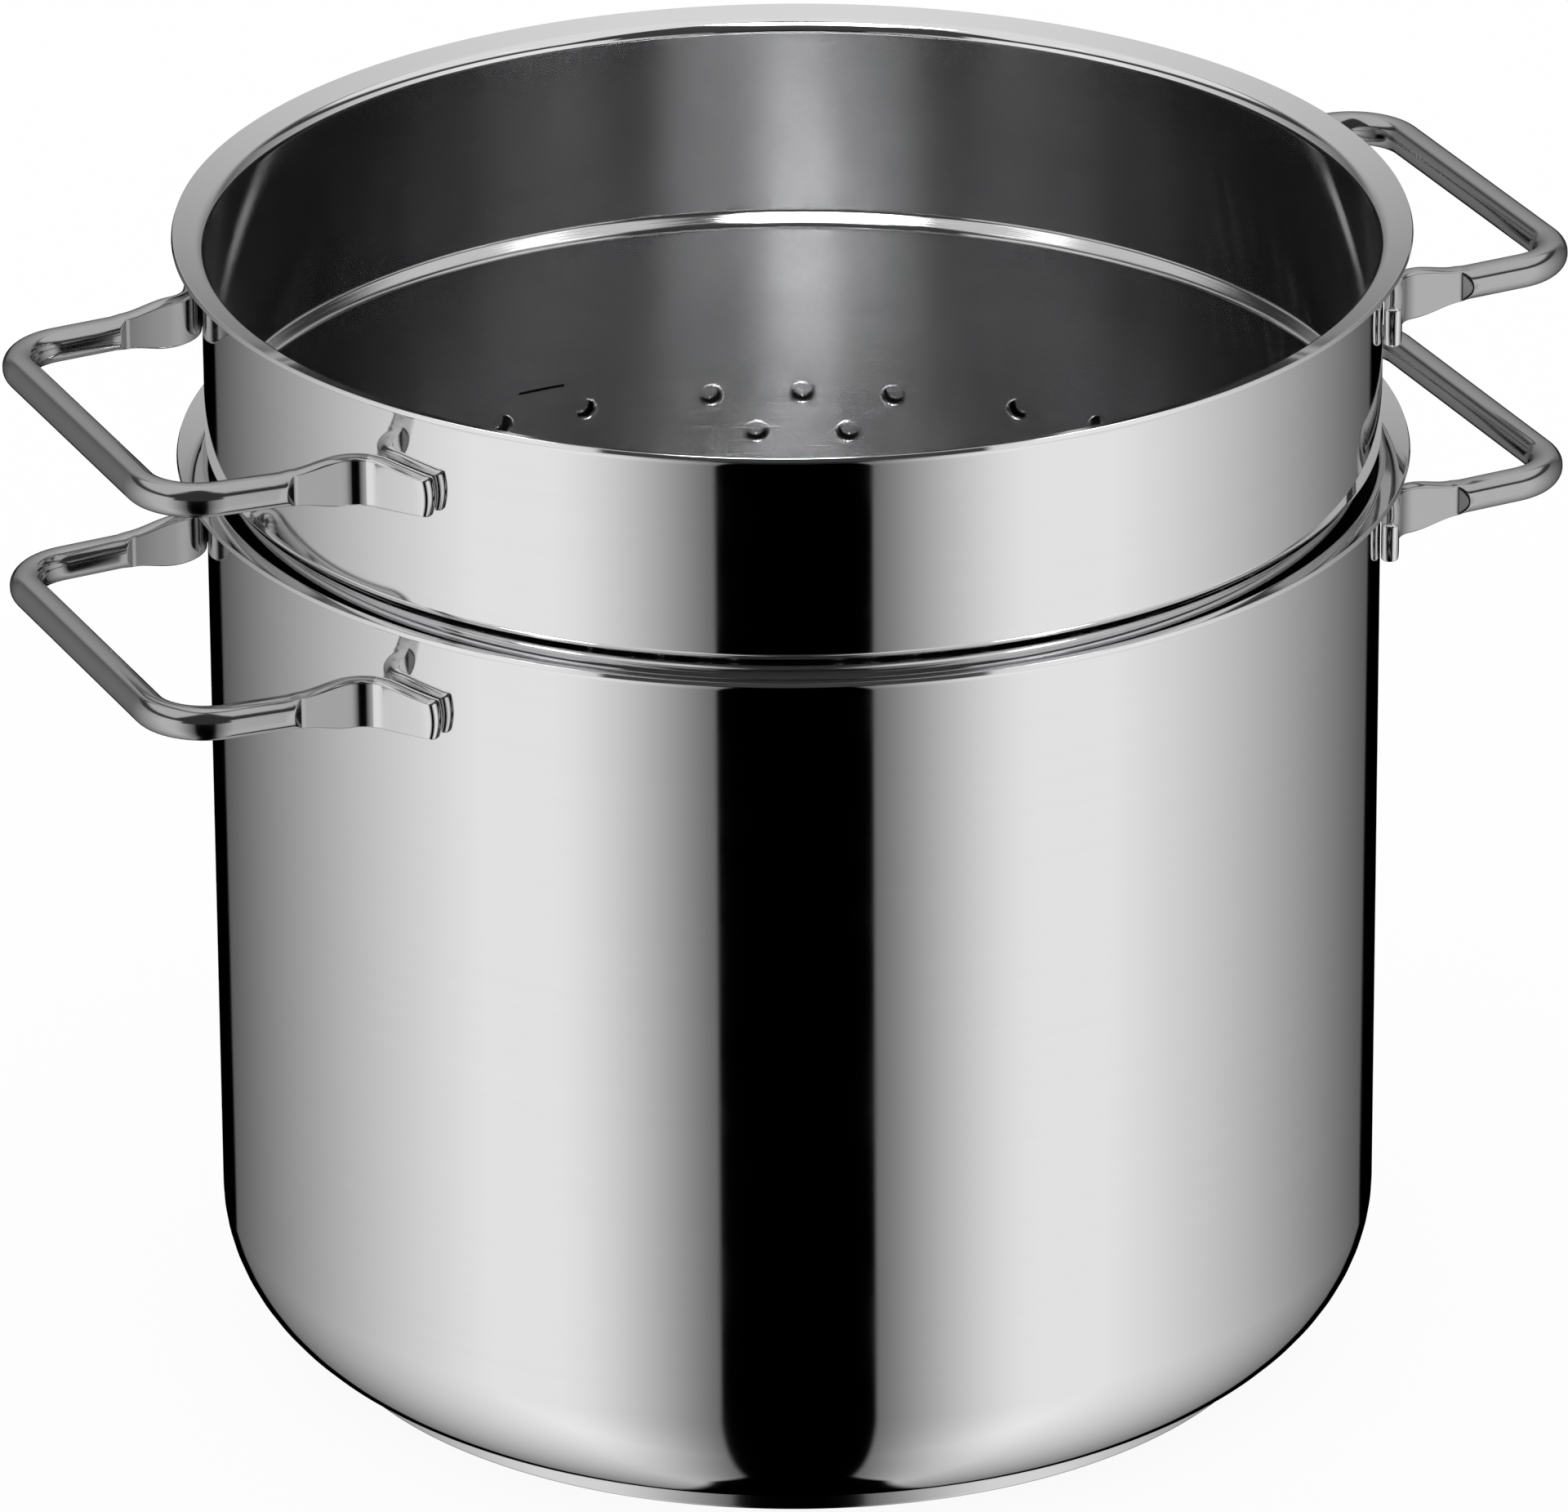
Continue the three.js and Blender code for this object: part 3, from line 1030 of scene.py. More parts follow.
class SectorRing:
    """Geometry Nodes tree that repeats one sector around Z, welds the copies and sets both finishes."""

    def __init__(self) -> None:
        """Builds the tree with its named inputs."""
        self.tree = bpy.data.node_groups.new("sector_ring", "GeometryNodeTree")
        new_socket = self.tree.interface.new_socket

        def named_input(name: str, kind: str) -> str:
            """Adds an input and returns its identifier."""
            return new_socket(name, in_out="INPUT", socket_type=f"NodeSocket{kind}").identifier

        named_input("Geometry", "Geometry")
        self._copies = named_input("Copies", "Int")
        self._weld = named_input("Weld Distance", "Float")
        self._outside = named_input("Outside Finish", "Material")
        self._inside = named_input("Inside Finish", "Material")
        new_socket("Geometry", in_out="OUTPUT", socket_type="NodeSocketGeometry")
        graph = Graph(self.tree)
        given = graph.add("NodeGroupInput").outputs
        points = graph.add("GeometryNodePoints", {"Count": given["Copies"]})
        step = graph.maths("DIVIDE", FULL_TURN, given["Copies"])
        angle = graph.maths("MULTIPLY", graph.add("GeometryNodeInputIndex").outputs[0], step)
        turn = graph.add("ShaderNodeCombineXYZ", {2: angle})
        rotation = graph.add("FunctionNodeEulerToRotation", {0: turn.outputs[0]})
        copies = graph.add(
            "GeometryNodeInstanceOnPoints",
            {
                "Points": points.outputs[0],
                "Instance": given["Geometry"],
                "Rotation": rotation.outputs[0],
            },
        )
        whole = graph.add("GeometryNodeRealizeInstances", {0: copies.outputs[0]})
        welded = graph.add(
            "GeometryNodeMergeByDistance", {0: whole.outputs[0], "Distance": given["Weld Distance"]}
        )
        outside = graph.add(
            "GeometryNodeSetMaterial", {0: welded.outputs[0], "Material": given["Outside Finish"]}
        )
        inner = graph.add("GeometryNodeInputNamedAttribute", {"Name": SIDE_LAYER}, data_type="BOOLEAN")
        inside = graph.add(
            "GeometryNodeSetMaterial",
            {
                0: outside.outputs[0],
                "Selection": inner.outputs["Attribute"],
                "Material": given["Inside Finish"],
            },
        )
        graph.add("NodeGroupOutput", {0: inside.outputs[0]})

    def repeat(
        self, sector: Surface, copies: int, outside: bpy.types.Material, inside: bpy.types.Material
    ) -> Surface:
        """Repeats a sector around Z.

        Args:
            sector: The sector, in place.
            copies: How many of them make the whole ring.
            outside: The finish of the outer face.
            inside: The finish of the inner face.

        Returns:
            The whole ring.
        """
        mesh = bpy.data.meshes.new("sector")
        mesh.from_pydata(sector.points.tolist(), [], sector.faces)
        inner = mesh.attributes.new(SIDE_LAYER, "BOOLEAN", "FACE")
        inner.data.foreach_set("value", [side == Side.INSIDE for side in sector.sides])
        radial = around_axis(sector.points, sector.normals, inverse=True)
        facing = mesh.attributes.new(NORMAL_LAYER, "FLOAT_VECTOR", "POINT")
        facing.data.foreach_set("vector", radial.ravel())
        carrier = bpy.data.objects.new("sector", mesh)
        bpy.context.scene.collection.objects.link(carrier)
        modifier = carrier.modifiers.new("sector_ring", "NODES")
        modifier.node_group = self.tree
        modifier[self._copies] = copies
        modifier[self._weld] = WELD_DISTANCE
        modifier[self._outside] = outside
        modifier[self._inside] = inside
        evaluated = carrier.evaluated_get(bpy.context.evaluated_depsgraph_get())
        ring = bpy.data.meshes.new_from_object(evaluated)
        carrier.modifiers.remove(modifier)
        bpy.data.objects.remove(carrier)
        points = np.empty(3 * len(ring.vertices))
        ring.vertices.foreach_get("co", points)
        points = points.reshape(-1, 3)
        normals = np.empty(3 * len(ring.vertices))
        ring.attributes[NORMAL_LAYER].data.foreach_get("vector", normals)
        faces = [tuple(polygon.vertices) for polygon in ring.polygons]
        sides = [int(ring.materials[polygon.material_index] == inside) for polygon in ring.polygons]
        bpy.data.meshes.remove(ring)
        return Surface(points, faces, sides, around_axis(points, normals.reshape(-1, 3)))


def around_axis(points: np.ndarray, vectors: np.ndarray, inverse: bool = False) -> np.ndarray:
    """Turns vectors between the frame and each point's own radial direction.

    Args:
        points: The points that carry the vectors.
        vectors: The vectors as (radial, sideways, up), or as (x, y, z) if inverse.
        inverse: Whether to go from the frame to the radial direction.

    Returns:
        The turned vectors.
    """
    azimuth = np.arctan2(points[:, 1], points[:, 0]) * (-1 if inverse else 1)
    cosine, sine = np.cos(azimuth), np.sin(azimuth)
    x = vectors[:, 0] * cosine - vectors[:, 1] * sine
    y = vectors[:, 0] * sine + vectors[:, 1] * cosine
    return np.stack([x, y, vectors[:, 2]], axis=1)


@dataclass
class Insert:
    """The lift-out insert: a perforated basket, a shoulder and a collar with a flared rim."""

    sheet: Sheet
    finishes: Finishes
    pot: Pot
    turn: float = -0.3
    shoulder_rise: float = 3.1 * MM
    collar_height: float = 44.9 * MM
    basket_clearance: float = 1.5 * MM
    shoulder_slope: float = 45.0
    shoulder_bend_radius: float = 2 * MM
    foot_ring_width: float = 10 * MM
    floor_raise: float = 5 * MM
    floor_step_angle: float = 45.0
    floor_bend_radius: float = 2.5 * MM
    perforation: Perforation = field(default_factory=Perforation)
    hole_groups: int = 11
    hole_turn: float = -0.4
    hole_pitch: float = 19.7 * MM
    row_pitch: float = 8.9 * MM
    first_row_drop: float = 38.5 * MM
    row_counts: tuple[int, ...] = (3, 2, 3, 2)
    floor_sectors: int = 6
    floor_rings: int = 3
    floor_ring_pitch: float = 23 * MM
    panel_margin: float = 3 * MM  # flat sheet around the outermost holes of a panel
    grid_pitch: float = 3 * MM

    @property
    def basket_radius(self) -> float:
        """Radius of the middle of the perforated wall."""
        return self.sheet.wall_inner_radius - self.basket_clearance - self.sheet.thickness / 2

    @property
    def basket_heel_radius(self) -> float:
        """Radius of the middle of the bottom corner, which keeps its clearance from the pot's."""
        pot_inside = self.pot.heel_radius - self.sheet.thickness
        return pot_inside - self.basket_clearance - self.sheet.thickness / 2

    @property
    def shoulder_top(self) -> float:
        """Height of the shoulder's upper bend."""
        return self.pot.height + self.shoulder_rise

    @property
    def shoulder_foot(self) -> float:
        """Height of the shoulder's lower bend."""
        width = self.sheet.wall_radius - self.basket_radius
        return self.shoulder_top - width * math.tan(math.radians(self.shoulder_slope))

    @property
    def rim_height(self) -> float:
        """Height of the edge of the rim."""
        return self.shoulder_top + self.collar_height

    @property
    def foot_ring_level(self) -> float:
        """Height of the middle of the sheet in the ring that the insert stands on."""
        return self.pot.floor + self.sheet.fit_gap + self.sheet.thickness / 2

    @property
    def floor_level(self) -> float:
        """Height of the middle of the sheet in the perforated floor."""
        return self.foot_ring_level + self.floor_raise

    @property
    def foot_ring_inner(self) -> float:
        """Radius at which the foot ring turns up to the floor."""
        return self.basket_radius - self.basket_heel_radius - self.foot_ring_width

    @property
    def floor_edge(self) -> float:
        """Radius at which the floor turns down to the foot ring."""
        return self.foot_ring_inner - self.floor_raise / math.tan(math.radians(self.floor_step_angle))

    @property
    def row_heights(self) -> list[float]:
        """Heights of the rows of holes in the wall, from the top."""
        first = self.shoulder_foot - self.first_row_drop
        return [first - row * self.row_pitch for row in range(len(self.row_counts))]

    @property
    def band(self) -> tuple[float, float]:
        """Lowest and highest point of the perforated band of the wall."""
        spare = self.perforation.reach + self.panel_margin
        return self.row_heights[-1] - spare, self.row_heights[0] + spare

    @property
    def floor_span(self) -> tuple[float, float]:
        """Inner and outer radius of the perforated part of the floor."""
        outer = self.floor_rings * self.floor_ring_pitch + self.perforation.reach + self.panel_margin / 2
        return self.perforation.reach, outer

    def upper(self) -> Surface:
        """Turns everything above the perforated band: wall, shoulder, collar and rim.

        Returns:
            Both faces, joined at the rim's edge.
        """
        corners = [
            Corner(complex(self.basket_radius, self.band[1])),
            Corner(complex(self.basket_radius, self.shoulder_foot), self.shoulder_bend_radius),
            Corner(complex(self.sheet.wall_radius, self.shoulder_top), self.shoulder_bend_radius),
            *self.sheet.rim(self.rim_height),
        ]
        return self.sheet.turned_wall(corners)

    def lower(self) -> list[Surface]:
        """Turns the sheet from the floor's edge to the foot of the perforated band.

        Returns:
            Its two faces.
        """
        corners = [
            Corner(complex(self.floor_span[1], self.floor_level)),
            Corner(complex(self.floor_edge, self.floor_level), self.floor_bend_radius),
            Corner(complex(self.foot_ring_inner, self.foot_ring_level), self.floor_bend_radius),
            Corner(complex(self.basket_radius, self.foot_ring_level), self.basket_heel_radius),
            Corner(complex(self.basket_radius, self.band[0])),
        ]
        line = sheet_line(corners)
        return [lathe(sheet_face(line, self.sheet.thickness, side)) for side in Side]

    def wall_sector(self) -> Surface:
        """Lays one group of holes on the part of the wall that it takes.

        Returns:
            The sector, in place.
        """
        inner_radius = self.basket_radius - self.sheet.thickness / 2
        low, high = self.band
        half = math.pi / self.hole_groups * inner_radius
        columns = ROUND_SEGMENTS // self.hole_groups
        rows = round((high - low) / self.grid_pitch)
        across = [-half + 2 * half * column / columns for column in range(columns + 1)]
        along = [low + (high - low) * row / rows for row in range(rows + 1)]
        border = [complex(x, low) for x in across[:-1]]
        border += [complex(half, y) for y in along[:-1]]
        border += [complex(x, high) for x in reversed(across[1:])]
        border += [complex(-half, y) for y in reversed(along[1:])]
        pitch = self.hole_pitch * inner_radius / self.basket_radius
        shift = math.radians(self.hole_turn) * inner_radius
        holes = [
            complex((hole - (count - 1) / 2) * pitch + shift, height)
            for height, count in zip(self.row_heights, self.row_counts)
            for hole in range(count)
        ]
        grid = [complex(x, y) for x in across[1:-1] for y in along[1:-1]]
        panel = Panel(border, grid, holes, self.perforation, self.sheet.thickness)

        def place(spot: complex, depth: float) -> np.ndarray:
            """Rolls the pattern onto the wall.

            Args:
                spot: The place in the pattern.
                depth: The distance outwards from the inside.

            Returns:
                The point.
            """
            angle = spot.real / inner_radius
            radius = inner_radius + depth
            return np.array([radius * math.cos(angle), radius * math.sin(angle), spot.imag])

        return panel.surface(place)

    def floor_sector(self) -> Surface:
        """Lays one sector of holes on the floor, from a quarter sector before the first of them.

        Returns:
            The sector, in place.
        """
        inner, outer = self.floor_span
        width = 2 * math.pi / self.floor_sectors
        start = -width / 4
        columns = ROUND_SEGMENTS // self.floor_sectors
        rows = round((outer - inner) / self.grid_pitch)
        angles = [start + width * column / columns for column in range(columns + 1)]
        radii = [inner + (outer - inner) * row / rows for row in range(rows + 1)]
        border = [cmath.rect(radius, angles[0]) for radius in radii[:-1]]
        border += [cmath.rect(outer, angle) for angle in angles[:-1]]
        border += [cmath.rect(radius, angles[-1]) for radius in reversed(radii[1:])]
        border += [cmath.rect(inner, angle) for angle in reversed(angles[1:])]
        holes = [
            cmath.rect(ring * self.floor_ring_pitch, hole * width / ring)
            for ring in range(1, self.floor_rings + 1)
            for hole in range(ring)
        ]
        grid = []
        for radius in radii[1:-1]:
            steps = max(2, round(width * radius / self.grid_pitch))
            grid += [cmath.rect(radius, start + width * step / steps) for step in range(1, steps)]
        swapped = [[complex(p.imag, p.real) for p in points] for points in (border[::-1], grid, holes)]
        panel = Panel(*swapped, self.perforation, self.sheet.thickness)
        top = self.floor_level + self.sheet.thickness / 2

        def place(spot: complex, depth: float) -> np.ndarray:
            """Lays the pattern on the floor, with depth downwards."""
            return np.array([spot.imag, spot.real, top - depth])

        return panel.surface(place)

    def centre_hole(self) -> Surface:
        """Turns the hole in the middle of the floor.

        Returns:
            The surface of the hole, in place.
        """
        top = self.floor_level + self.sheet.thickness / 2
        return lathe(
            [
                ProfilePoint(complex(at.point.real, top - at.point.imag), -at.facing, at.side)
                for at in self.perforation.profile(self.sheet.thickness)
            ]
        )

    def build(self) -> bpy.types.Object:
        """Makes the whole perforated sheet as one piece and ties it to the insert.

        Returns:
            The perforated sheet.
        """
        outside = self.finishes.polished
        inside = self.finishes.insert_satin
        rings = SectorRing()
        whole = joined(
            [
                self.upper(),
                *self.lower(),
                self.centre_hole(),
                rings.repeat(self.wall_sector(), self.hole_groups, outside, inside),
                rings.repeat(self.floor_sector(), self.floor_sectors, outside, inside),
            ]
        )
        shell = make_piece("perforated_insert", whole.turned(self.turn), [outside, inside])
        dress(shell, Body.INSERT, "insert_shell", Slot.INSERT)
        return shell


# Handles


@dataclass(frozen=True)
class RodStation:
    """A place along a handle in plan, with the half height and the half thickness of the metal there.

    The bulge is how far the middle of the section stands before its upper and lower edge.
    """

    station: Station
    half_height: float
    half_thickness: float
    bulge: float = 0.0
    polished: bool = False


@dataclass
class Handle:
    """A bent rod whose ends are pressed flat into feet that lie against the wall."""

    sheet: Sheet
    finishes: Finishes
    rod_diameter: float = 7 * MM
    reach: float = 35.4 * MM
    width: float = 88 * MM
    corner_radius: float = 12.5 * MM
    drop: float = 19 * MM
    arm_spread: float = 3.5
    blade_thickness: float = 3.6 * MM
    blade_root_height: float = 7.5 * MM
    blade_bend_height: float = 10.9 * MM
    blade_tip_height: float = 8.7 * MM
    blade_length: float = 10.7 * MM
    press_length: float = 2 * MM
    blade_bend_radius: float = 8 * MM
    foot_length: float = 13.1 * MM
    tip_bulge: float = 0.8 * MM  # of the end, seen square to the foot
    tip_round: float = 1.5 * MM  # in plan
    tip_corner: float = 0.5 * MM
    edge_softness: float = 0.16 * MM  # rounding of the pressed edges
    support: float = 0.4 * MM  # distance from a bend to the ring that keeps the straight run straight
    press_steps: int = 12
    tip_steps: int = 6
    tip_close: tuple[float, ...] = (0.93, 0.5, 0.05)  # shares of the rings that close a tip
    flat_rows: int = 13
    flat_share: float = 0.9  # of the flat between two creases, that its own rows cover
    crease_rows: tuple[float, ...] = (-0.06, -0.03, 0.0, 0.03, 0.06)  # radians beside a crease
    edge_rows: int = 7
    edge_start: float = 0.12  # radians from a crease to the first row of the rounded edge

    @property
    def foot_radius(self) -> float:
        """Radius of the middle of a foot around the vessel."""
        return self.sheet.wall_outer_radius + self.sheet.fit_gap + self.blade_thickness / 2

    def _foot_bend(self, arm_start: complex, heading: float) -> tuple[complex, float, float]:
        """Fits the bend between a straight arm and the foot, which follows the wall.

        Args:
            arm_start: A point of the arm.
            heading: The arm's direction in radians.

        Returns:
            Where the bend starts, how far it turns, and the azimuth at which the foot starts.
        """
        across = cmath.rect(self.blade_bend_radius, heading - HALF_PI)
        offset = arm_start + across
        reach = self.foot_radius + self.blade_bend_radius
        towards = (offset * cmath.rect(1, -heading)).real
        distance = -towards - math.sqrt(towards**2 - abs(offset) ** 2 + reach**2)
        centre = offset + cmath.rect(distance, heading)
        return centre - across, cmath.phase(centre) + HALF_PI - heading, cmath.phase(centre)

    def _foot(self, foot_azimuth: float, length: float) -> Station:
        """Returns the place on a foot at a length from its start."""
        azimuth = foot_azimuth + length / self.foot_radius
        return Station(cmath.rect(self.foot_radius, azimuth), azimuth + HALF_PI)

    def half(self) -> list[RodStation]:
        """Runs one half of the handle from the middle of its cross bar to the tip of its foot.

        Returns:
            The stations, closest where the metal changes shape.
        """
        rod = self.rod_diameter / 2
        blade = self.blade_thickness / 2
        bar = self.sheet.wall_outer_radius + self.reach
        arm_heading = math.pi - math.radians(self.arm_spread)
        corner_turn = arm_heading - HALF_PI
        setback = self.corner_radius * math.tan(corner_turn / 2)
        corner = bend(complex(bar, self.width / 2 - setback), HALF_PI, corner_turn, self.corner_radius)
        bend_start, turn, foot_azimuth = self._foot_bend(corner[-1].point, arm_heading)

        def arm(back: float) -> Station:
            """Returns the place on the arm at a length before the bend."""
            return Station(bend_start - cmath.rect(back, arm_heading), arm_heading)

        stations = [RodStation(Station(complex(bar, 0), HALF_PI), rod, rod)]
        stations.append(RodStation(Station(corner[0].point - 1j * self.support, HALF_PI), rod, rod))
        stations += [RodStation(station, rod, rod) for station in corner]
        after = corner[-1].point + cmath.rect(self.support, arm_heading)
        stations.append(RodStation(Station(after, arm_heading), rod, rod))
        stations += self._pressed(arm)
        bent = bend(bend_start, arm_heading, turn, self.blade_bend_radius)
        for step, station in enumerate(bent):
            polished = step > len(bent) / 2
            stations.append(RodStation(station, self.blade_bend_height / 2, blade, polished=polished))
        stations += [replace(at, polished=True) for at in self._tip(foot_azimuth)]
        return stations

    def _pressed(self, arm: Callable[[float], Station]) -> list[RodStation]:
        """Runs the arm where the round rod is pressed into a blade.

        Args:
            arm: Gives the place on the arm at a length before the bend.

        Returns:
            The stations from the last round section to the last one before the bend.
        """
        rod = self.rod_diameter / 2
        blade = self.blade_thickness / 2
        root = self.blade_root_height / 2
        bend_height = self.blade_bend_height / 2
        stations = []
        steps = self.press_steps
        lead = self.press_length  # the rod starts to swell before the press meets it
        for step in range(steps + 1):
            share = step / steps
            back = self.blade_length + self.press_length * (1 - share)
            height = rod + (root - rod) * share
            stations.append(RodStation(arm(back), height, rod + (blade - rod) * share))
        stations.insert(0, RodStation(arm(self.blade_length + self.press_length + lead), rod, rod))
        for step in range(1, steps):
            share = step / steps
            eased = share * share * (3 - 2 * share)
            height = root + (bend_height - root) * eased
            stations.append(RodStation(arm(self.blade_length * (1 - share)), height, blade))
        return stations

    def _tip(self, foot_azimuth: float) -> list[RodStation]:
        """Runs a foot from the bend to its rounded tip.

        Args:
            foot_azimuth: The azimuth in radians at which the foot starts.

        Returns:
            The stations after the bend.
        """
        blade = self.blade_thickness / 2
        tip = self.blade_tip_height / 2
        flat = self.foot_length - self.tip_bulge - self.tip_round
        steps = self.tip_steps
        stations = []
        for step in range(1, steps + 1):
            share = step / steps
            height = self.blade_bend_height / 2 * (1 - share) + tip * share
            place = self._foot(foot_azimuth, flat * share)
            stations.append(RodStation(place, height, blade, self.tip_bulge * share**2))
        for step in range(1, steps + 1):
            angle = HALF_PI * step / steps
            lost = 1 - math.cos(angle)
            place = self._foot(foot_azimuth, flat + self.tip_round * math.sin(angle))
            height = tip - self.tip_corner * lost
            stations.append(RodStation(place, height, blade - self.tip_round * lost, self.tip_bulge))
        end = stations[-1]
        for share in self.tip_close:
            height = end.half_height * share
            stations.append(replace(end, half_height=height, half_thickness=end.half_thickness * share))
        return stations

    def _section_angles(self) -> list[float]:
        """Spreads the places around a section, with close rows at the creases of the pressed flats.

        Returns:
            The angles in radians, from below one flat and once around.
        """
        crease = math.acos(self.blade_thickness / self.rod_diameter)
        reach = crease * self.flat_share
        flat = list(np.linspace(-reach, reach, self.flat_rows))
        first = crease + self.edge_start
        edge = list(np.linspace(first, math.pi - first, self.edge_rows))
        beside = [crease + step for step in self.crease_rows]
        half = [*[-angle for angle in reversed(beside)], *flat, *beside, *edge]
        return [*half, *[angle + math.pi for angle in half]]

    def _section(self, at: RodStation, angles: Sequence[float]) -> list[tuple[float, float, float]]:
        """Places the points of one section: a round cut off by the two press faces.

        Args:
            at: The place along the handle.
            angles: The places around the section, in radians.

        Returns:
            The points, at the height of the rod's own middle.
        """
        rod = self.rod_diameter / 2
        across = cmath.rect(1, at.station.heading - HALF_PI)
        points = []
        for angle in angles:
            wide = rod * math.cos(angle)
            over = abs(wide) - at.half_thickness
            soft = self.edge_softness
            if over > soft:
                wide = math.copysign(at.half_thickness, wide)
            elif over > -soft:
                wide = math.copysign(abs(wide) - (over + soft) ** 2 / (4 * soft), wide)
            height = at.half_height * math.sin(angle)
            ahead = at.bulge * (1 - (2 * height / self.blade_tip_height) ** 2)
            place = at.station.point + wide * across + cmath.rect(ahead, at.station.heading)
            points.append((place.real, place.imag, height))
        return points

    def rod(self) -> Surface:
        """Lofts the whole rod, towards +X.

        Returns:
            The rod, at the height of its own middle.
        """
        half = self.half()
        mirrored = []
        for at in reversed(half[1:]):
            back = Station(at.station.point.conjugate(), math.pi - at.station.heading)
            mirrored.append(replace(at, station=back, bulge=-at.bulge))
        angles = self._section_angles()
        run = [*mirrored, *half]
        finish = [int(one.polished and other.polished) for one, other in zip(run, run[1:])]
        return loft([self._section(at, angles) for at in run], finish)

    def build(self, body: Body, vessel: str, rim_height: float, turn: float) -> None:
        """Makes the two handles of a vessel and ties them to it.

        Args:
            body: The vessel's body.
            vessel: The word that the vessel's nodes start with.
            rim_height: The height of the vessel's rim.
            turn: How far the vessel is turned about Z.
        """
        shape = self.rod().raised(rim_height - self.drop)
        finishes = [self.finishes.rod, self.finishes.foot]
        for side, azimuth in (("right", turn), ("left", turn + 180)):
            rod = make_piece(f"{vessel}_rod_{side}", shape.turned(azimuth), finishes)
            dress(rod, body, f"{vessel}_handle_{side}", Slot.HANDLE)


def loft(sections: Sequence[Sequence[tuple[float, float, float]]], finish: Sequence[int]) -> Surface:
    """Joins sections in order, with a flat end on the first and on the last.

    Args:
        sections: Closed rings of as many points each, with the clock as seen from the last one.
        finish: The number of the finish between each ring and the next.

    Returns:
        The closed surface, without normals.
    """
    sides = len(sections[0])
    faces: list[tuple[int, ...]] = []
    for ring in range(len(sections) - 1):
        for side in range(sides):
            near = ring * sides + side
            beside = ring * sides + (side + 1) % sides
            faces.append((near, near + sides, beside + sides, beside))
    faces.append(tuple(range(sides)))
    last = (len(sections) - 1) * sides
    faces.append(tuple(reversed(range(last, last + sides))))
    numbers = [number for number in finish for _ in range(sides)]
    return Surface(np.array(sections).reshape(-1, 3), faces, [*numbers, finish[0], finish[-1]])


# Camera, floor and light


@dataclass(frozen=True)
class PhotoCamera:
    """The photograph's camera: a long lens that looks down at the steamer."""

    azimuth: float = -24.3
    elevation: float = 23.668
    roll: float = -0.332
    distance: float = 2777.44 * MM
    target_height: float = 129.93 * MM
    focal_length_px: float = 16360.0
    principal_point_px: tuple[float, float] = (973.53, 891.14)
    image_size_px: tuple[int, int] = (1920, 1851)
    sensor_width_mm: float = 36.0
    view_limit: float = 100.0

    def place(self) -> None:
        """Makes the camera and gives it to the scene."""
        azimuth, elevation = math.radians(self.azimuth), math.radians(self.elevation)
        back = Vector(
            (
                math.sin(azimuth) * math.cos(elevation),
                -math.cos(azimuth) * math.cos(elevation),
                math.sin(elevation),
            )
        )
        right = Vector((math.cos(azimuth), math.sin(azimuth), 0))
        axes = Matrix((right, back.cross(right), back)).transposed()
        place = axes.to_4x4() @ Matrix.Rotation(math.radians(self.roll), 4, "Z")
        place.translation = Vector((0, 0, self.target_height)) + back * self.distance
        width, height = self.image_size_px
        lens = bpy.data.cameras.new("photo_camera")
        lens.sensor_fit = "HORIZONTAL"
        lens.sensor_width = self.sensor_width_mm
        lens.lens = self.focal_length_px / width * self.sensor_width_mm
        lens.shift_x = (width / 2 - self.principal_point_px[0]) / width
        lens.shift_y = (self.principal_point_px[1] - height / 2) / width
        lens.clip_end = self.view_limit
        camera = bpy.data.objects.new("photo_camera", lens)
        camera.matrix_world = place
        bpy.context.scene.collection.objects.link(camera)
        bpy.context.scene.camera = camera


@dataclass(frozen=True)
class SoftBox:
    """A soft box that hangs over the opening."""

    aside: float  # from the middle, as the camera sees it
    width: float
    power: float


@dataclass(frozen=True)
class Gaze:
    """The way in which a mirrored ray looks, as sockets of the surround's graph."""

    aside: bpy.types.NodeSocket  # shares to either side, towards the camera and up
    forwards: bpy.types.NodeSocket
    up: bpy.types.NodeSocket
    elevation: bpy.types.NodeSocket  # in degrees
    azimuth: bpy.types.NodeSocket  # in degrees from the camera


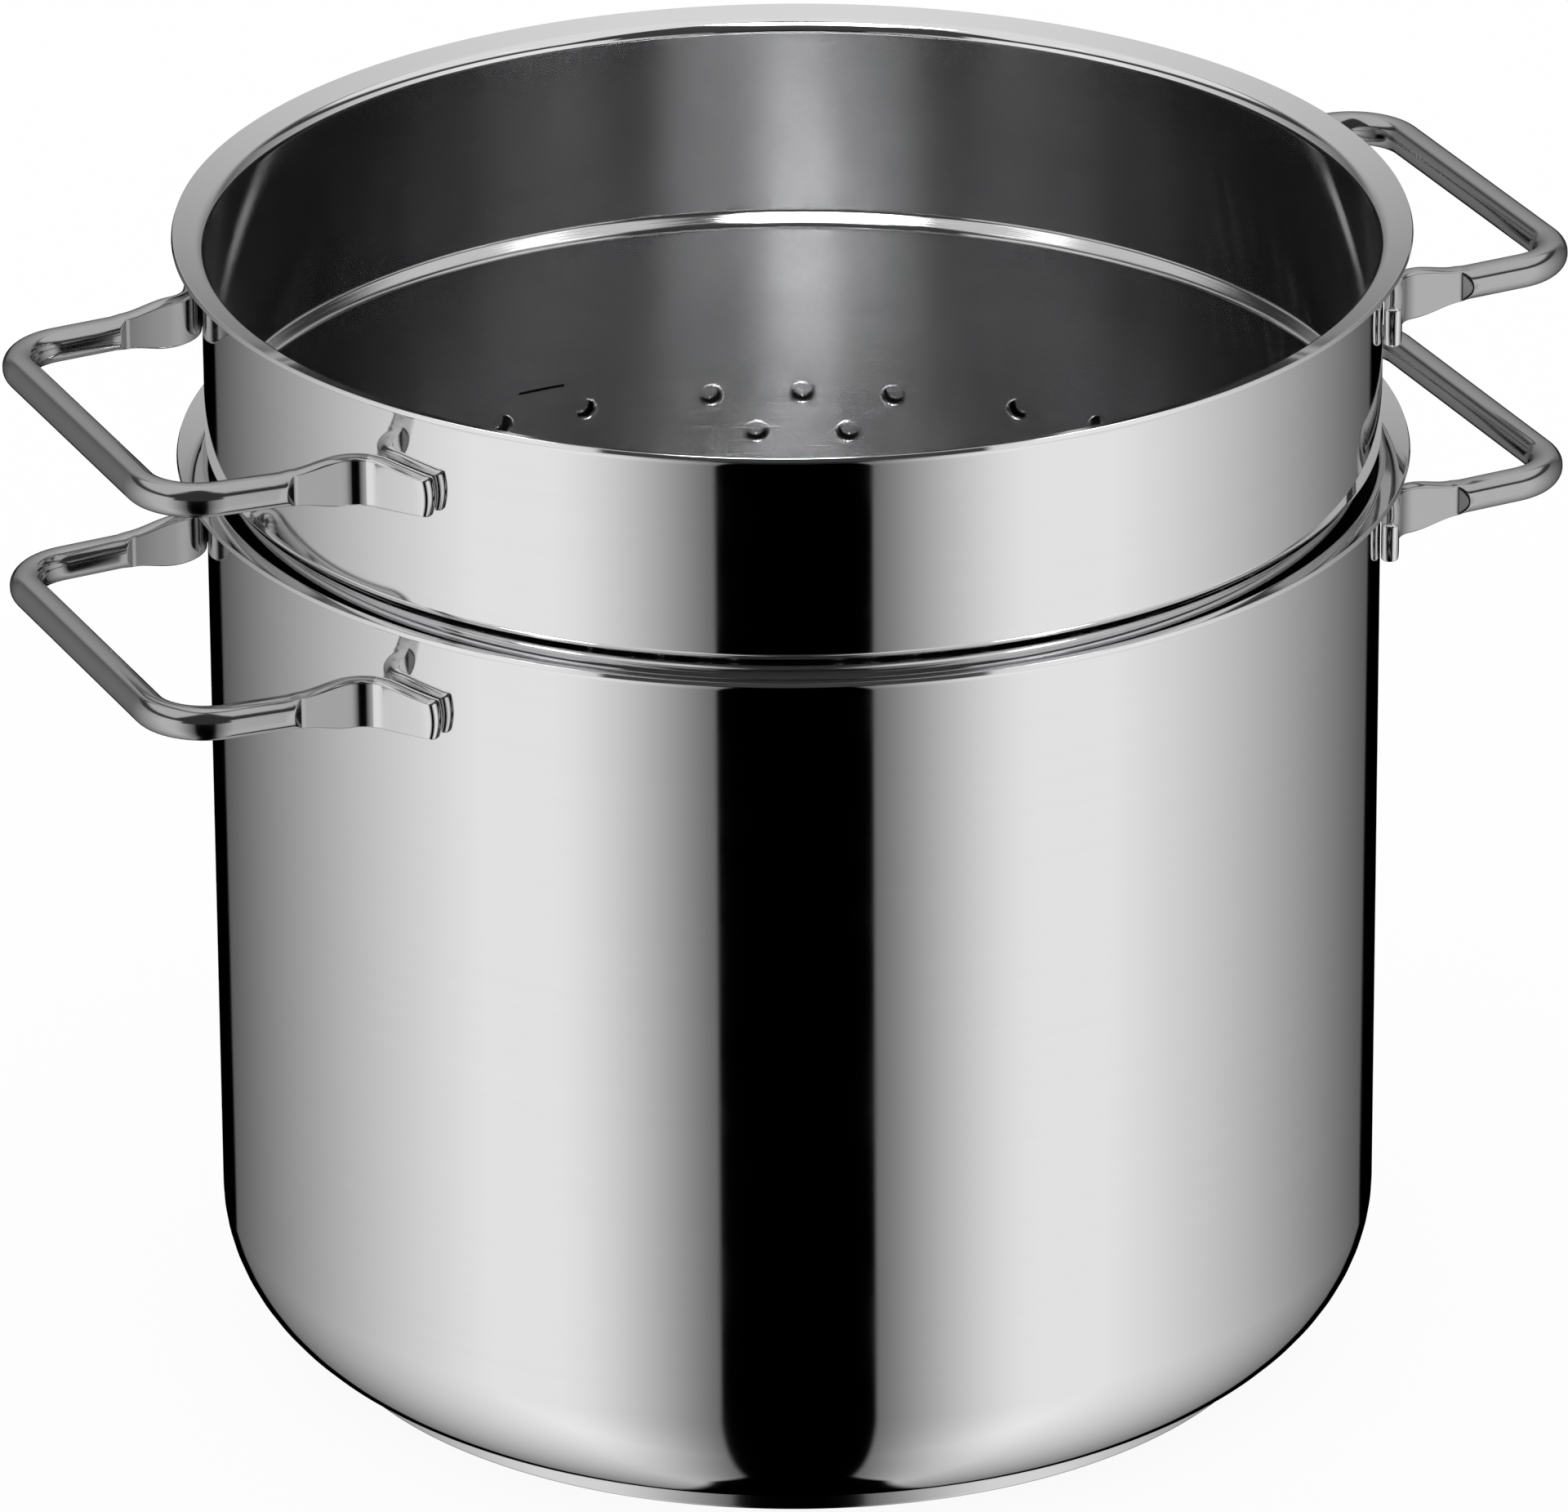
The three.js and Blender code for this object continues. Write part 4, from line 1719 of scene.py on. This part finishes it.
@dataclass(frozen=True)
class Studio:
    """A white floor in a white surround, with the lights and the black flags that the metal mirrors.

    A direction is read by its shares to the side, towards the camera and up. Both sides are alike.
    """

    camera: PhotoCamera
    wall_level: float = 0.92  # of the two soft walls of light
    wall_fan: float = 0.49  # how far behind the steamer the walls' light fans out from
    wall_rise: tuple[float, float] = (1.5, 33.0)  # degrees of the fan in which a wall reaches its level
    wall_fade: tuple[float, float] = (-0.98, 0.4)  # share towards the camera in which it gains it
    wall_top: float = 26.0  # degrees upwards at which the walls end
    floor_gain: float = 0.1  # light that the floor adds below
    floor_gain_range: tuple[float, float] = (-0.5, -0.9)  # share upwards in which it comes in
    front_flag: tuple[float, float] = (0.083, 0.17)  # half width, and its change towards the camera
    rear_flag: tuple[float, float] = (0.13, 0.11)  # the same of the flag behind
    flag_change: tuple[float, float] = (-0.25, 0.02)  # share towards the camera between the two flags
    camera_shade: float = 23.3  # half angle of the dark place straight behind the steamer
    dim_level: float = 0.05  # between the walls and the light overhead
    dim_front: float = 35.0  # degrees from the camera within which the walls stay low
    dim_start: float = 12.0  # degrees upwards at which they end there
    rear_level: tuple[float, float] = (0.22, 0.85)  # of the light behind, low and high up
    rear_start: tuple[float, float] = (132.0, 150.0)  # degrees from the camera in which it comes in
    rear_rise: tuple[float, float] = (0.0, 62.0)  # degrees upwards from low to high
    top_level: float = 0.84  # of the wide light overhead
    top_edges: tuple[float, float, float] = (88.0, 39.0, 62.0)  # where it starts: front, sides and rear
    top_turn: tuple[float, float] = (30.0, 50.0)  # degrees from the camera between front and sides
    bowl_boxes: tuple[SoftBox, ...] = (
        SoftBox(aside=-0.17, width=0.06, power=0.11),
        SoftBox(aside=-0.0155, width=0.085, power=0.25),
        SoftBox(aside=0.17, width=0.06, power=0.13),
    )
    bowl_height: float = 0.5  # of the soft boxes, clear of the lifted insert
    bowl_length: float = 0.16
    bowl_forwards: float = 0.02
    bowl_spread: float = 80.0  # their grids keep the light inside the vessels
    feather: float = 0.012  # of the flags' edges
    edge_blur: float = 1.0  # degrees to each side in which the edge of a light fades
    horizon_blur: float = 2.0
    top_blur: float = 3.0
    floor_radius: float = 6.0
    floor_segments: int = 64
    floor_color: tuple[float, float, float] = (0.95, 0.95, 0.95)
    floor_glow: float = 0.92  # share of the floor's white that casts no shadow

    def _gaze(self, graph: Graph) -> Gaze:
        """Reads the way in which a ray looks, against the camera.

        Args:
            graph: The surround's graph.

        Returns:
            The sockets that lights and flags are placed by.
        """
        direction = graph.add("ShaderNodeTexCoord").outputs["Generated"]
        at = graph.add("ShaderNodeSeparateXYZ", {0: direction}).outputs
        turn = math.radians(self.camera.azimuth)
        aside = graph.maths("ABSOLUTE", graph.blend(at[0], math.cos(turn), at[1], math.sin(turn)))
        forwards = graph.blend(at[0], math.sin(turn), at[1], -math.cos(turn))
        elevation = graph.maths("DEGREES", graph.maths("ARCSINE", at[2]))
        azimuth = graph.maths("DEGREES", graph.maths("ARCTAN2", aside, forwards))
        return Gaze(aside, forwards, at[2], elevation, azimuth)

    def _world(self) -> None:
        """Builds the surround: white to the eye, and lights and flags to the metal."""
        world = bpy.data.worlds.new("studio")
        bpy.context.scene.world = world
        world.use_nodes = True
        graph = Graph(world.node_tree)
        gaze = self._gaze(graph)
        level = graph.maths("MAXIMUM", self._walls(graph, gaze), self._overhead(graph, gaze))
        mirrored = graph.add("ShaderNodeBackground", {"Color": WHITE, "Strength": level})
        seen = graph.add("ShaderNodeBackground", {"Color": WHITE, "Strength": 1.0})
        glossy = graph.add("ShaderNodeLightPath").outputs["Is Glossy Ray"]
        mix = graph.add("ShaderNodeMixShader", {0: glossy, 1: seen.outputs[0], 2: mirrored.outputs[0]})
        surface = world.node_tree.nodes["World Output"].inputs["Surface"]
        world.node_tree.links.new(mix.outputs[0], surface)

    def _walls(self, graph: Graph, gaze: Gaze) -> bpy.types.NodeSocket:
        """Gives the two soft walls at the sides, with the flags between them.

        Args:
            graph: The surround's graph.
            gaze: The way in which a ray looks.

        Returns:
            The level's socket.
        """
        behind = graph.maths("ADD", gaze.forwards, self.wall_fan)
        fan = graph.maths("DEGREES", graph.maths("ARCTAN2", gaze.aside, behind))
        below = graph.ramp(gaze.up, *self.floor_gain_range)
        gain = graph.maths("MULTIPLY_ADD", below, self.floor_gain, 1.0)
        risen = graph.ramp(fan, *self.wall_rise, smooth=True)
        lit = graph.product(self.wall_level, risen, graph.ramp(gaze.forwards, *self.wall_fade), gain)
        front = graph.maths("MULTIPLY_ADD", gaze.forwards, self.front_flag[1], self.front_flag[0])
        rear = graph.maths("MULTIPLY_ADD", gaze.forwards, self.rear_flag[1], self.rear_flag[0])
        ahead = graph.ramp(gaze.forwards, *self.flag_change, smooth=True)
        width = graph.add("ShaderNodeMix", {"Factor": ahead, "A": rear, "B": front}).outputs["Result"]
        beside_flag = graph.ramp(graph.maths("SUBTRACT", gaze.aside, width), 0.0, self.feather)
        camera_rise = math.radians(self.camera.elevation)
        away = graph.blend(gaze.forwards, -math.cos(camera_rise), gaze.up, -math.sin(camera_rise))
        shade = math.cos(math.radians(self.camera_shade))
        beside_shade = graph.ramp(away, shade, shade - self.feather)
        blur = self.edge_blur
        below_top = graph.ramp(gaze.elevation, self.wall_top + blur, self.wall_top - blur)
        below_dim = graph.ramp(gaze.elevation, self.dim_start + blur, self.dim_start - blur)
        beside_dim = graph.ramp(gaze.azimuth, self.dim_front - blur, self.dim_front + blur)
        clear = graph.maths("MAXIMUM", below_dim, beside_dim)
        return graph.product(lit, beside_flag, beside_shade, below_top, clear)

    def _overhead(self, graph: Graph, gaze: Gaze) -> bpy.types.NodeSocket:
        """Gives everything above the walls: a dim gap, the rear and a wide light overhead.

        Args:
            graph: The surround's graph.
            gaze: The way in which a ray looks.

        Returns:
            The level's socket.
        """
        blur = self.edge_blur
        above_walls = graph.ramp(gaze.elevation, self.dim_start - blur, self.dim_start + blur)
        dim = graph.product(self.dim_level, above_walls)
        low, high = self.rear_level
        risen = graph.ramp(gaze.elevation, *self.rear_rise)
        rear_level = graph.maths("MULTIPLY_ADD", risen, high - low, low)
        behind = graph.ramp(gaze.azimuth, *self.rear_start)
        above_floor = graph.ramp(gaze.elevation, -self.horizon_blur, self.horizon_blur)
        rear = graph.product(rear_level, behind, above_floor)
        front_edge, side_edge, rear_edge = self.top_edges
        beside = graph.ramp(gaze.azimuth, *self.top_turn)
        edge = graph.maths("MULTIPLY_ADD", beside, side_edge - front_edge, front_edge)
        edge = graph.maths("MULTIPLY_ADD", behind, rear_edge - side_edge, edge)
        above_edge = graph.maths("SUBTRACT", gaze.elevation, edge)
        top = graph.product(self.top_level, graph.ramp(above_edge, -self.top_blur, self.top_blur))
        return graph.maths("MAXIMUM", graph.maths("MAXIMUM", dim, rear), top)

    def _floor(self) -> None:
        """Makes the floor, which keeps a faint shadow and stays out of the metal's reflections."""
        material = bpy.data.materials.new("pale_floor")
        material.use_nodes = True
        graph = Graph(material.node_tree)
        paper = graph.add("ShaderNodeBsdfDiffuse", {"Color": (*self.floor_color, 1.0)})
        glow = graph.add("ShaderNodeEmission", {"Color": WHITE, "Strength": 1.0})
        mix = graph.add(
            "ShaderNodeMixShader", {0: self.floor_glow, 1: paper.outputs[0], 2: glow.outputs[0]}
        )
        surface = material.node_tree.nodes["Material Output"].inputs["Surface"]
        material.node_tree.links.new(mix.outputs[0], surface)
        mesh = bpy.data.meshes.new("floor")
        disc = bmesh.new()
        bmesh.ops.create_circle(
            disc, cap_ends=True, segments=self.floor_segments, radius=self.floor_radius
        )
        disc.to_mesh(mesh)
        disc.free()
        mesh.materials.append(material)
        floor = bpy.data.objects.new("floor", mesh)
        floor.visible_glossy = False
        bpy.context.scene.collection.objects.link(floor)

    def _bowl_lights(self, vessels: Sequence[bpy.types.Object]) -> None:
        """Hangs the soft boxes that light the inside of the vessels and nothing else.

        Args:
            vessels: The vessels' pieces.
        """
        lit = bpy.data.collections.new("vessels")
        for vessel in vessels:
            lit.objects.link(vessel)
        turn = cmath.rect(1, math.radians(self.camera.azimuth))
        for box in self.bowl_boxes:
            lamp = bpy.data.lights.new("bowl_light", "AREA")
            lamp.shape = "RECTANGLE"
            lamp.size = box.width
            lamp.size_y = self.bowl_length
            lamp.energy = box.power
            lamp.spread = math.radians(self.bowl_spread)
            place = complex(box.aside, -self.bowl_forwards) * turn
            light = bpy.data.objects.new("bowl_light", lamp)
            light.location = (place.real, place.imag, self.bowl_height)
            light.rotation_euler = (0, 0, cmath.phase(turn))
            light.visible_camera = False
            light.light_linking.receiver_collection = lit
            bpy.context.scene.collection.objects.link(light)

    def build(self, vessels: Sequence[bpy.types.Object]) -> None:
        """Builds the surround, the floor and the lights over the vessels.

        Args:
            vessels: The vessels' pieces.
        """
        self._world()
        self._floor()
        self._bowl_lights(vessels)


def main() -> None:
    """Builds the camera, the studio and every piece of the steamer."""
    logging.basicConfig(level=logging.INFO, format="%(name)s: %(message)s")
    scene = bpy.context.scene
    scene.view_settings.view_transform = "Standard"
    scene.cycles.glossy_bounces = MIRROR_BOUNCES
    camera = PhotoCamera()
    camera.place()
    finishes = Finishes()
    sheet = Sheet()
    pot = Pot(sheet, finishes)
    vessels = [pot.build()]
    insert = Insert(sheet, finishes, pot)
    vessels.append(insert.build())
    handle = Handle(sheet, finishes)
    handle.build(Body.POT, "pot", pot.height, 0.0)
    handle.build(Body.INSERT, "insert", insert.rim_height, insert.turn)
    Studio(camera).build(vessels)


if __name__ == "__main__":
    main()
